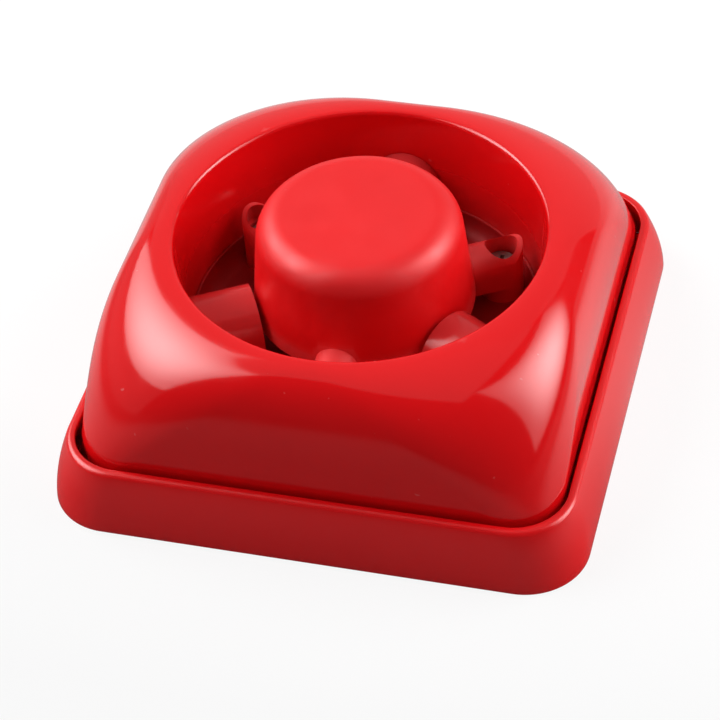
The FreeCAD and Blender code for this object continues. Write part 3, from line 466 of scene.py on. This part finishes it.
def hub_shell():
    outside = cone_with_round(HUB_LOW_RADIUS, HUB_TOP_RADIUS, HUB_LOW, HUB_TOP, HUB_ROUND, 18)
    inside = cone_with_round(
        HUB_LOW_RADIUS - HUB_WALL, HUB_TOP_RADIUS - HUB_WALL, HUB_LOW, HUB_TOP - HUB_WALL,
        HUB_ROUND - HUB_WALL, 8)
    hub = lathe("hub_shell", outside + inside[::-1])
    start = HUB_LOW_RADIUS - HUB_WALL - ARM_ROOT
    arms = vault(
        "arms", ARM_RADIUS, ARM_AXIS, start, POST_CIRCLE + ARM_RADIUS, ARM_AXIS - ARM_RADIUS, ARM_ANGLES)
    arms = combined(arms, foot_prints(0.5 * start), "INTERSECT")
    places = [polar(POST_CIRCLE, angle) for angle in ARM_ANGLES]
    posts = drum("posts", places, ARM_RADIUS - HAIR, BOWL_FLOOR, ARM_AXIS - 2 * HAIR, FINE_COUNT)
    hub = combined(hub, combined(arms, posts, "UNION"), "UNION")
    hub = combined(hub, drum("mouths", places, POST_MOUTH, POST_SEAT, HUB_TOP), "DIFFERENCE")
    shanks = drum("shanks", places, SHANK_HOLE, BOWL_FLOOR - OVER, POST_SEAT + OVER)
    return combined(hub, shanks, "DIFFERENCE")


# ---- bowl ----------------------------------------------------------------------------------------
def ridge_limit(low=10, high=35):
    """What lies inside the mouth's wall, with a seam, from below the ridges to above them."""
    edge = [(mouth_wall(z) - BOWL_GAP - RIDGE_SEAM, z) for z in (low, high)]
    return lathe("ridge_limit", [(0, low), *edge, (0, high)])


def driver_collar(places):
    """The collar under the bowl that the sound driver sits in, with its screw ears."""
    collar = drum("collar", MIDDLE, COLLAR_OUT, COLLAR_LOW, BOWL_LOW + FLOOR_JOINT, FINE_COUNT)
    ears = drum("ears", places, EAR_RADIUS, COLLAR_LOW - HAIR, BOWL_LOW + EAR_JOINT)
    collar = combined(collar, ears, "UNION")
    bore = drum("collar_bore", MIDDLE, COLLAR_IN, BORE_LOW, BOWL_LOW, FINE_COUNT)
    return combined(collar, bore, "DIFFERENCE")


def bowl_shell():
    low, high = mouth_wall(BOWL_LOW) - BOWL_GAP, mouth_wall(BOWL_RIM) - BOWL_GAP
    cove = arc_points(high - COVE_LEDGE - COVE, BOWL_FLOOR + COVE, COVE, 0, -90, 10)
    pan = lathe("bowl_shell", [
        (0, BOWL_LOW), (low * 0.5, BOWL_LOW), (low, BOWL_LOW), (high, BOWL_RIM), *cove,
        (low * 0.5, BOWL_FLOOR), (0, BOWL_FLOOR)])
    ridges = vault(
        "ridges", RIDGE_RADIUS, RIDGE_AXIS, RIDGE_START, MOUTH, BOWL_LOW + FLOOR_JOINT, RIDGE_ANGLES, 96)
    pan = combined(pan, combined(ridges, ridge_limit(), "INTERSECT"), "UNION")
    pan = combined(pan, drum("tower", MIDDLE, TOWER_OUT, BOWL_FLOOR - OVER, TOWER_TOP, FINE_COUNT), "UNION")
    ears = [polar(EAR_CIRCLE, angle) for angle in RIDGE_ANGLES]
    posts = [polar(POST_CIRCLE, angle) for angle in ARM_ANGLES]
    pan = combined(pan, driver_collar(ears), "UNION")
    for places, radius, hole_low, hole_top in (
            (MIDDLE, THROAT, *THROAT_CUT),
            (MIDDLE, TOWER_IN, BOWL_FLOOR, TOWER_TOP + OVER),
            (ears, EAR_PILOT, COLLAR_LOW - OVER, EAR_PILOT_TOP),
            (posts, SHANK_HOLE, BOWL_LOW - OVER, BOWL_FLOOR + OVER)):
        pan = combined(pan, drum("hole", places, radius, hole_low, hole_top), "DIFFERENCE")
    cores = vault(
        "cores", RIDGE_RADIUS - RIDGE_WALL, RIDGE_AXIS, RIDGE_START + RIDGE_WALL, low - RIDGE_WALL,
        BOWL_LOW - OVER, RIDGE_ANGLES)
    return combined(pan, cores, "DIFFERENCE")


# ---- spring --------------------------------------------------------------------------------------
def wound_spring(node, wire, turns, steps=48, around=12):
    """A round wire wound up through the node's box."""
    low, high = (Vector(corner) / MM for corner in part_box(node))
    middle = (low + high) / 2
    radius = (high.x - low.x) / 2 - wire
    rise = high.z - low.z - 2 * wire
    rings = []
    for i in range(turns * steps + 1):
        out = Vector((*polar(1, 360 * i / steps), 0))
        centre = Vector((middle.x, middle.y, low.z + wire + rise * i / (turns * steps))) + radius * out
        section = [polar(wire, 360 * k / around) for k in range(around)]
        rings.append([centre + x * out + Vector((0, 0, z)) for x, z in section])
    return skinned("wound_spring", rings)


# ---- finishes ------------------------------------------------------------------------------------
CLOUD_SCALE = 60             # noise scales of the colour's mottle, the gloss and the dust
PATCH_SCALE = 170
DUST_SCALE = 420
WORN_LIGHTER = 0.25          # how far towards white worn edges and dust go
EDGE_RANGE = (0.56, 0.66)    # pointiness from which an edge looks worn, up to fully worn
DUST_RANGE = (0.76, 0.80)    # noise from which a speck shows, up to fully
GRAIN_DEPTH = 0.00005        # in metres
materials = {}


def shader(name):
    material = bpy.data.materials.new(name)
    material.use_nodes = True
    nodes, links = material.node_tree.nodes, material.node_tree.links
    return material, nodes, links, nodes["Principled BSDF"]


def noise(nodes, links, vector, scale, detail=3.0, stretch=None, seed=0.0):
    texture = nodes.new("ShaderNodeTexNoise")
    texture.noise_dimensions = "4D"
    texture.inputs["W"].default_value = seed
    texture.inputs["Scale"].default_value = scale
    texture.inputs["Detail"].default_value = detail
    if stretch:
        mapping = nodes.new("ShaderNodeMapping")
        mapping.inputs["Scale"].default_value = stretch
        links.new(vector, mapping.inputs["Vector"])
        vector = mapping.outputs["Vector"]
    links.new(vector, texture.inputs["Vector"])
    return texture.outputs["Fac"]


def ranged(nodes, links, value, low, high, from_low=0.3, from_high=0.7):
    """Maps a value from one range to another, held at its ends."""
    span = nodes.new("ShaderNodeMapRange")
    for key, number in (("From Min", from_low), ("From Max", from_high), ("To Min", low), ("To Max", high)):
        span.inputs[key].default_value = number
    links.new(value, span.inputs["Value"])
    return span.outputs["Result"]


def blended(nodes, links, factor, first, second):
    """Mixes two colours, each a socket or (r, g, b)."""
    mix = nodes.new("ShaderNodeMix")
    mix.data_type = "RGBA"
    for socket, colour in ((mix.inputs["A"], first), (mix.inputs["B"], second)):
        if hasattr(colour, "is_output"):
            links.new(colour, socket)
        else:
            socket.default_value = (*colour, 1)
    links.new(factor, mix.inputs["Factor"])
    return mix.outputs["Result"]


def mouth_shade_mask(nodes, links, place):
    """Mask for the painted shade inside the cover's mouth: 1 inside the mouth and 0 on the dome, from the
    distance to the axis.
    """
    apart = nodes.new("ShaderNodeSeparateXYZ")
    flat = nodes.new("ShaderNodeCombineXYZ")
    reach = nodes.new("ShaderNodeVectorMath")
    reach.operation = "LENGTH"
    links.new(place, apart.inputs["Vector"])
    for axis in "XY":
        links.new(apart.outputs[axis], flat.inputs[axis])
    links.new(flat.outputs["Vector"], reach.inputs[0])
    return ranged(nodes, links, reach.outputs["Value"], 1, 0, (MOUTH - 1.5) * MM, (MOUTH - 0.2) * MM)


def bowl_floor_shade_mask(nodes, links, place):
    """Mask for the painted shade on the bowl's floor: 1 on the floor and 0 on its ridges, from the height.
    """
    apart = nodes.new("ShaderNodeSeparateXYZ")
    links.new(place, apart.inputs["Vector"])
    return ranged(nodes, links, apart.outputs["Z"], 1, 0, (BOWL_RIM - 0.5) * MM, (BOWL_RIM + 1.5) * MM)


def finish(name, colour, rough=0.4, metallic=0.0, mottle=0.06, grain=900, bump=0.05, rough_swing=0.06,
           stretch=None, specular=0.5, seed=0.0, wear=0.12, shade_and_gloss_zone=None, specks=0.0):
    """A moulded or plated surface: mottled colour, uneven gloss, fine grain and lighter worn edges.

    The zone, given as (mask maker, colour, roughness), marks a part of the surface that is finished
    otherwise: its roughness is a real change of gloss, its darker colour is painted shade.
    Each noise has a seed of its own, counted on from the surface's.
    """
    material, nodes, links, body = shader(name)
    place = nodes.new("ShaderNodeTexCoord").outputs["Object"]
    clouds = noise(nodes, links, place, CLOUD_SCALE, 4, seed=seed)
    darker = [c * (1 - mottle) for c in colour]
    lighter = [min(c * (1 + mottle) + 0.01 * mottle, 1) for c in colour]
    shade = blended(nodes, links, ranged(nodes, links, clouds, 0, 1), darker, lighter)
    pointed = nodes.new("ShaderNodeNewGeometry").outputs["Pointiness"]
    worn = [c + (1 - c) * WORN_LIGHTER for c in colour]
    shade = blended(nodes, links, ranged(nodes, links, pointed, 0, wear, *EDGE_RANGE), shade, worn)
    if specks:
        grains = noise(nodes, links, place, DUST_SCALE, 1, seed=seed + 11)
        shade = blended(nodes, links, ranged(nodes, links, grains, 0, specks, *DUST_RANGE), shade, worn)
    patches = noise(nodes, links, place, PATCH_SCALE, 3, stretch, seed + 3)
    gloss = ranged(nodes, links, patches, rough - rough_swing, rough + rough_swing)
    # The zone's darker colour is painted shade; its other roughness is a real change of gloss.
    if shade_and_gloss_zone:
        make_mask, shade_colour, zone_rough = shade_and_gloss_zone
        mask = make_mask(nodes, links, place)
        shade = blended(nodes, links, mask, shade, shade_colour)
        duller = nodes.new("ShaderNodeMix")
        links.new(mask, duller.inputs["Factor"])
        links.new(gloss, duller.inputs["A"])
        duller.inputs["B"].default_value = zone_rough
        gloss = duller.outputs["Result"]
    links.new(shade, body.inputs["Base Color"])
    links.new(gloss, body.inputs["Roughness"])
    fine = noise(nodes, links, place, grain, 2, stretch, seed + 7)
    relief = nodes.new("ShaderNodeBump")
    relief.inputs["Strength"].default_value = bump
    relief.inputs["Distance"].default_value = GRAIN_DEPTH
    links.new(fine, relief.inputs["Height"])
    links.new(relief.outputs["Normal"], body.inputs["Normal"])
    body.inputs["Metallic"].default_value = metallic
    body.inputs["Specular IOR Level"].default_value = specular
    materials[name] = material


RED = (0.70, 0.0035, 0.0055)
# Painted shade: the mouth's wall is coloured darker than RED to stand in for the shade inside the mouth.
MOUTH_SHADED_RED = (0.58, 0.003, 0.0045)
# Painted shade: the bowl, and its floor darker still, are coloured darker than RED to stand in for the shade
# at the bottom of the mouth.
BOWL_SHADED_RED = (0.62, 0.003, 0.005)
BOWL_FLOOR_SHADED_RED = (0.32, 0.0018, 0.003)
finish(
    "red_gloss_abs", RED, rough=0.10, mottle=0.02, bump=0.04, rough_swing=0.02, seed=1, specks=0.35,
    shade_and_gloss_zone=(mouth_shade_mask, MOUTH_SHADED_RED, 0.36))
finish("red_satin_abs", RED, rough=0.23, mottle=0.01, bump=0.01, rough_swing=0.015, wear=0.0, seed=2)
finish(
    "red_bowl_abs", BOWL_SHADED_RED, rough=0.13, mottle=0.03, bump=0.03, rough_swing=0.03, specular=0.25, seed=3,
    shade_and_gloss_zone=(bowl_floor_shade_mask, BOWL_FLOOR_SHADED_RED, 0.5))
finish("red_matt_abs", RED, rough=0.41, mottle=0.03, bump=0.08, seed=4, specks=0.2)
finish("zinc_steel", (0.42, 0.43, 0.40), rough=0.38, metallic=1.0, mottle=0.1, seed=5)
finish("clamp_screw_steel", (0.6, 0.6, 0.58), rough=0.3, metallic=1.0, mottle=0.08, seed=6)
finish("cage_brass", (0.62, 0.57, 0.42), rough=0.34, metallic=1.0, mottle=0.08, seed=7)
finish("gasket_foam", (0.02, 0.02, 0.022), rough=0.9, grain=2500, bump=0.8, seed=8)
finish("disc_brass", (0.70, 0.48, 0.18), rough=0.25, metallic=1.0, stretch=(1, 30, 1), bump=0.1, seed=9)
finish("piezo_ceramic", (0.62, 0.60, 0.54), rough=0.4, metallic=0.3, bump=0.1, seed=10)
finish("black_abs", (0.012, 0.012, 0.013), rough=0.42, bump=0.15, seed=11)
finish("black_lead", (0.01, 0.01, 0.011), rough=0.35, seed=12)
finish("red_lead", (0.45, 0.012, 0.01), rough=0.35, seed=13)
finish("board_green", (0.008, 0.10, 0.035), rough=0.22, mottle=0.2, grain=1500, bump=0.2, seed=14)
finish("terminal_green", (0.02, 0.20, 0.06), rough=0.45, bump=0.12, seed=15)
finish("tinned_contact", (0.68, 0.67, 0.62), rough=0.35, metallic=1.0, seed=16)
finish("switch_red", (0.40, 0.012, 0.012), rough=0.4, bump=0.1, seed=17)
finish("slider_white", (0.78, 0.78, 0.74), rough=0.42, seed=18)
finish("trimmer_blue", (0.015, 0.06, 0.32), rough=0.38, bump=0.1, seed=19)
finish("rotor_white", (0.72, 0.70, 0.62), rough=0.42, seed=20)
finish("tamper_black", (0.014, 0.014, 0.015), rough=0.45, bump=0.15, seed=21)
finish("plunger_white", (0.74, 0.74, 0.70), rough=0.4, seed=22)
finish("spring_steel", (0.55, 0.55, 0.56), rough=0.28, metallic=1.0, seed=23)
finish("can_sleeve", (0.008, 0.010, 0.030), rough=0.22, bump=0.08, seed=24)
finish("ferrite", (0.022, 0.022, 0.024), rough=0.55, mottle=0.25, grain=1800, bump=0.4, seed=25)
finish("copper_winding", (0.56, 0.17, 0.05), rough=0.28, metallic=1.0, stretch=(1, 1, 40), bump=0.6, seed=26)
finish("chip_black", (0.012, 0.012, 0.012), rough=0.5, bump=0.25, seed=27)
finish("resistor_black", (0.014, 0.014, 0.015), rough=0.3, seed=28)
finish("capacitor_tan", (0.34, 0.22, 0.10), rough=0.42, mottle=0.12, seed=29)

# ---- pieces --------------------------------------------------------------------------------------
slots = {part["node"]: part["material_slot"] for part in frame["record"]["subparts"]}
for node, thing in frame["nodes"].items():
    thing.data.materials.clear()
    thing.data.materials.append(materials[slots[node]])
    soften(thing, NODE_EDGE, angle=40, segments=1)

for shape, name, node, edge in (
        (cover_shell, "front_cover_shell", "front_cover", 0.0),
        (tray_shell, "base_tray_shell", "base_tray", 0.0),
        (hub_shell, "hub_cap_shell", "hub_cap", SHELL_EDGE),
        (bowl_shell, "horn_bowl_shell", "horn_bowl", SHELL_EDGE)):
    piece = finished(shape(), name, materials[slots[node]], node, bevel=edge)

# The plunger presses its spring together; this coil is wound once, at one length through the spring's box,
# and gets a mesh of its own.
spring = wound_spring("tamper_spring", SPRING_WIRE, SPRING_TURNS)
finished(spring, "tamper_spring_coil", materials["spring_steel"], "tamper_spring")
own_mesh(spring)

# ---- studio --------------------------------------------------------------------------------------
# Lengths are in metres and angles in degrees, apart from the floor's and the table's, which say so.
LAMP_DISTANCE = 1.2
AIM = (0, 0, 0.02)
ROOM_DISTANCE = 1.4
ROOM_LEVEL = 0.06
CEILING_HEIGHT = 1.1
CEILING_LEVEL = 0.45
CEILING_X = (-0.55, 0.55)
CEILING_Y = (-0.33, 0.62)
FLOOR_REACH = 1500           # this and the floor's two heights are in millimetres
FLOOR_HEIGHTS = (-2.0, -0.02)
# Painted shade: the floor's grey is darker in front of the object, where shade falls.
FLOOR_SHADE_GREYS = ((0.38, 0.38, 0.38), (0.75, 0.75, 0.75))
GREY_FROM_Y = -0.10          # the floor goes from the darker grey, painted shade in front, to the lighter grey between these
GREY_TO_Y = -0.02
# Levels of the table's painted reflection: light beside the lamps and shade near the object, glowing in
# reflections only.
TABLE_LEVEL = 0.40
TABLE_TILT = 0.21            # brighter behind the object and dimmer in front by this much
TABLE_LIT = ((12, 0.72, 6), (165, 0.32, 3))     # (azimuth, level, sharpness) beside each lamp
FLOOR_GLOW = 1.05
FLOOR_GLOW_SHARE = 0.82      # how much of what is seen of the floor glows instead of being lit


def direction(azimuth, elevation, distance):
    a, e = math.radians(azimuth), math.radians(elevation)
    return Vector((math.cos(a) * math.cos(e), math.sin(a) * math.cos(e), math.sin(e))) * distance


def lamp(name, azimuth, elevation, width, height, radiance):
    """A soft square lamp aimed at the sounder; a cloth stands for it in reflections."""
    light = bpy.data.lights.new(name, "AREA")
    light.shape = "RECTANGLE"
    light.size, light.size_y = width, height
    light.energy = radiance * math.pi * width * height
    place = bpy.data.objects.new(name, light)
    bpy.context.scene.collection.objects.link(place)
    centre = direction(azimuth, elevation, LAMP_DISTANCE)
    aim = (Vector(AIM) - centre).to_track_quat("-Z", "Y")
    place.matrix_world = Matrix.Translation(centre) @ aim.to_matrix().to_4x4()
    place.visible_glossy = False


def glowing(name, grid):
    """A sheet seen only in reflections, from rows of (point, level)."""
    bm = bmesh.new()
    level = bm.verts.layers.float.new("level")
    rows = []
    for line in grid:
        rows.append([])
        for point, strength in line:
            vert = bm.verts.new(point)
            vert[level] = strength
            rows[-1].append(vert)
    for low, high in zip(rows, rows[1:]):
        for k in range(len(low) - 1):
            bm.faces.new((low[k], low[k + 1], high[k + 1], high[k]))
    sheet = from_bmesh(name, bm)
    material, nodes, links, body = shader(name)
    nodes.remove(body)
    glow = nodes.new("ShaderNodeEmission")
    value = nodes.new("ShaderNodeAttribute")
    value.attribute_name = "level"
    links.new(value.outputs["Fac"], glow.inputs["Strength"])
    links.new(glow.outputs["Emission"], nodes["Material Output"].inputs["Surface"])
    sheet.data.materials.append(material)
    sheet.visible_camera = False
    sheet.visible_diffuse = False
    sheet.visible_shadow = False


def diffuser(name, corners, edge, peak, skew=1.0, steps=32):
    """A painted reflection, as polished plastic mirrors the cloth of a softbox or a dim backdrop, between
    corners of (azimuth, elevation).

    Its level goes from edge to peak, in its middle or off it by a skew.
    """
    a, b, c, d = (Vector(corner) for corner in corners)
    grid = []
    for i in range(steps + 1):
        u = i / steps
        grid.append([])
        for k in range(steps + 1):
            v = k / steps
            hill = max(math.sin(math.pi * u ** skew) * math.sin(math.pi * v), 0.0) ** 1.15
            point = direction(*a.lerp(b, u).lerp(d.lerp(c, u), v), LAMP_DISTANCE)
            grid[-1].append((point, edge + (peak - edge) * hill))
    glowing(name, grid)


def ramp(value, start, width):
    """0 up to the start, then evenly up to 1 over the width."""
    return min(max((value - start) / width, 0.0), 1.0)


def table_level(azimuth, gap):
    """How bright the painted reflection of the table is, seen from the object, at an azimuth in radians and
    a gap in millimetres.

    Its painted light is brightest beside the lamps; it is dim close to the object, as painted shade, and dim
    far away except behind it.
    """
    level = TABLE_LEVEL + TABLE_TILT * math.sin(azimuth)
    for towards, strength, sharpness in TABLE_LIT:
        level += strength * max(math.cos(azimuth - math.radians(towards)), 0.0) ** sharpness
    behind = ramp(math.sin(azimuth), 0.6, 0.3)
    far = 0.75 * ramp(gap, 85, 90) * (1 - behind)
    return level * min(0.45 + gap / 80, 1.0) * (1 - far)


def table_reflection_sheet(name, around=144):
    """A painted reflection of the table round the tray, glowing in reflections only, in squares at growing
    gaps to its foot in millimetres.
    """
    grid = []
    for gap in (-TRAY_CORNER, 0.3, 4, 10, 20, 30, 40, 60, 80, 100, 120, 140, 160, 180, 210, 400, 1400):
        grid.append([])
        for i in range(around + 1):
            azimuth = 2 * math.pi * i / around
            reach = (TRAY_HALF + gap) / max(abs(math.cos(azimuth)), abs(math.sin(azimuth)))
            point = Vector((reach * math.cos(azimuth), reach * math.sin(azimuth), -HAIR)) * MM
            grid[-1].append((point, table_level(azimuth, gap)))
    glowing(name, grid)


def seen_directly(nodes, links):
    """1 for what the camera sees, also mirrored or through something clear, and 0 for other light."""
    paths = nodes.new("ShaderNodeLightPath")
    seen = paths.outputs["Is Camera Ray"]
    for ray in ("Is Glossy Ray", "Is Transmission Ray"):
        either = nodes.new("ShaderNodeMath")
        either.operation = "MAXIMUM"
        links.new(seen, either.inputs[0])
        links.new(paths.outputs[ray], either.inputs[1])
        seen = either.outputs[0]
    return seen


def floor_paper():
    """Pale paper, darker towards the front as painted shade, that mostly glows where it is seen."""
    material, nodes, links, body = shader("pale_floor")
    apart = nodes.new("ShaderNodeSeparateXYZ")
    links.new(nodes.new("ShaderNodeTexCoord").outputs["Object"], apart.inputs["Vector"])
    depth = ranged(nodes, links, apart.outputs["Y"], 0, 1, GREY_FROM_Y, GREY_TO_Y)
    links.new(blended(nodes, links, depth, *FLOOR_SHADE_GREYS), body.inputs["Base Color"])
    body.inputs["Roughness"].default_value = 0.9
    body.inputs["Specular IOR Level"].default_value = 0.1
    glow = nodes.new("ShaderNodeEmission")
    glow.inputs["Strength"].default_value = FLOOR_GLOW
    share = nodes.new("ShaderNodeMath")
    share.operation = "MULTIPLY"
    share.inputs[1].default_value = FLOOR_GLOW_SHARE
    links.new(seen_directly(nodes, links), share.inputs[0])
    mixer = nodes.new("ShaderNodeMixShader")
    links.new(share.outputs[0], mixer.inputs["Fac"])
    links.new(body.outputs["BSDF"], mixer.inputs[1])
    links.new(glow.outputs["Emission"], mixer.inputs[2])
    links.new(mixer.outputs["Shader"], nodes["Material Output"].inputs["Surface"])
    return material


def studio_world():
    """White where it is seen, and dim as a light."""
    world = bpy.data.worlds.new("studio")
    world.use_nodes = True
    nodes, links = world.node_tree.nodes, world.node_tree.links
    strength = ranged(nodes, links, seen_directly(nodes, links), 0.15, 1.0, 0, 1)
    links.new(strength, nodes["Background"].inputs["Strength"])
    nodes["Background"].inputs["Color"].default_value = (1, 1, 1, 1)
    return world


square = [(x * FLOOR_REACH, y * FLOOR_REACH) for x, y in ((-1, -1), (1, -1), (1, 1), (-1, 1))]
floor = skinned("floor", [[(x, y, z) for x, y in square] for z in FLOOR_HEIGHTS])
floor.data.materials.append(floor_paper())
bpy.context.scene.world = studio_world()

lamp("soft_left", azimuth=176, elevation=42, width=1.3, height=0.95, radiance=4.6)
lamp("soft_right", azimuth=22, elevation=31, width=1.1, height=1.0, radiance=4.7)
diffuser("cloth_left", ((137, 63), (141, 16), (214, 25), (216, 66)), edge=2.6, peak=10.8)
diffuser("cloth_right", ((-14, 62), (49, 48), (36, 9), (-14, 5)), edge=1.4, peak=11.5, skew=1.4)
# Painted reflections with no lamp behind them: a dim back, a dim low left, a ceiling and a dark room glow in
# reflections only.
diffuser("painted_back_reflection", ((52, 62), (145, 62), (133, -2), (50, -2)), edge=0.40, peak=0.50)
diffuser("painted_low_left_reflection", ((130, 16), (130, 0), (215, 0), (215, 25)), edge=0.25, peak=0.35)
glowing("painted_ceiling_reflection", [[(Vector((x, y, CEILING_HEIGHT)), CEILING_LEVEL) for x in CEILING_X] for y in CEILING_Y])
table_reflection_sheet("painted_table_reflection")
glowing("painted_room_reflection", [
    [(direction(azimuth, elevation, ROOM_DISTANCE), ROOM_LEVEL) for azimuth in range(0, 361, 10)]
    for elevation in range(-1, 91, 7)])

# ---- camera --------------------------------------------------------------------------------------
AZIMUTH, ELEVATION, ROLL = math.radians(17.68), math.radians(43.86), math.radians(-4.82)
TARGET = (1.384, -11.818, 15)     # millimetres
DISTANCE = 589.51
LENS = 132.02
back = Vector((
    math.sin(AZIMUTH) * math.cos(ELEVATION), -math.cos(AZIMUTH) * math.cos(ELEVATION), math.sin(ELEVATION)))
right = Vector((math.cos(AZIMUTH), math.sin(AZIMUTH), 0))
up = back.cross(right)
level_right = math.cos(ROLL) * right + math.sin(ROLL) * up
level_up = math.cos(ROLL) * up - math.sin(ROLL) * right
camera = bpy.data.objects.new("camera", bpy.data.cameras.new("camera"))
bpy.context.scene.collection.objects.link(camera)
camera.data.sensor_width = 36
camera.data.lens = LENS
camera.data.clip_start = 0.01
camera.matrix_world = Matrix.Translation(Vector(TARGET) * MM + back * DISTANCE * MM) @ Matrix(
    (level_right, level_up, back)).transposed().to_4x4()
bpy.context.scene.camera = camera
bpy.context.scene.view_settings.view_transform = "Standard"
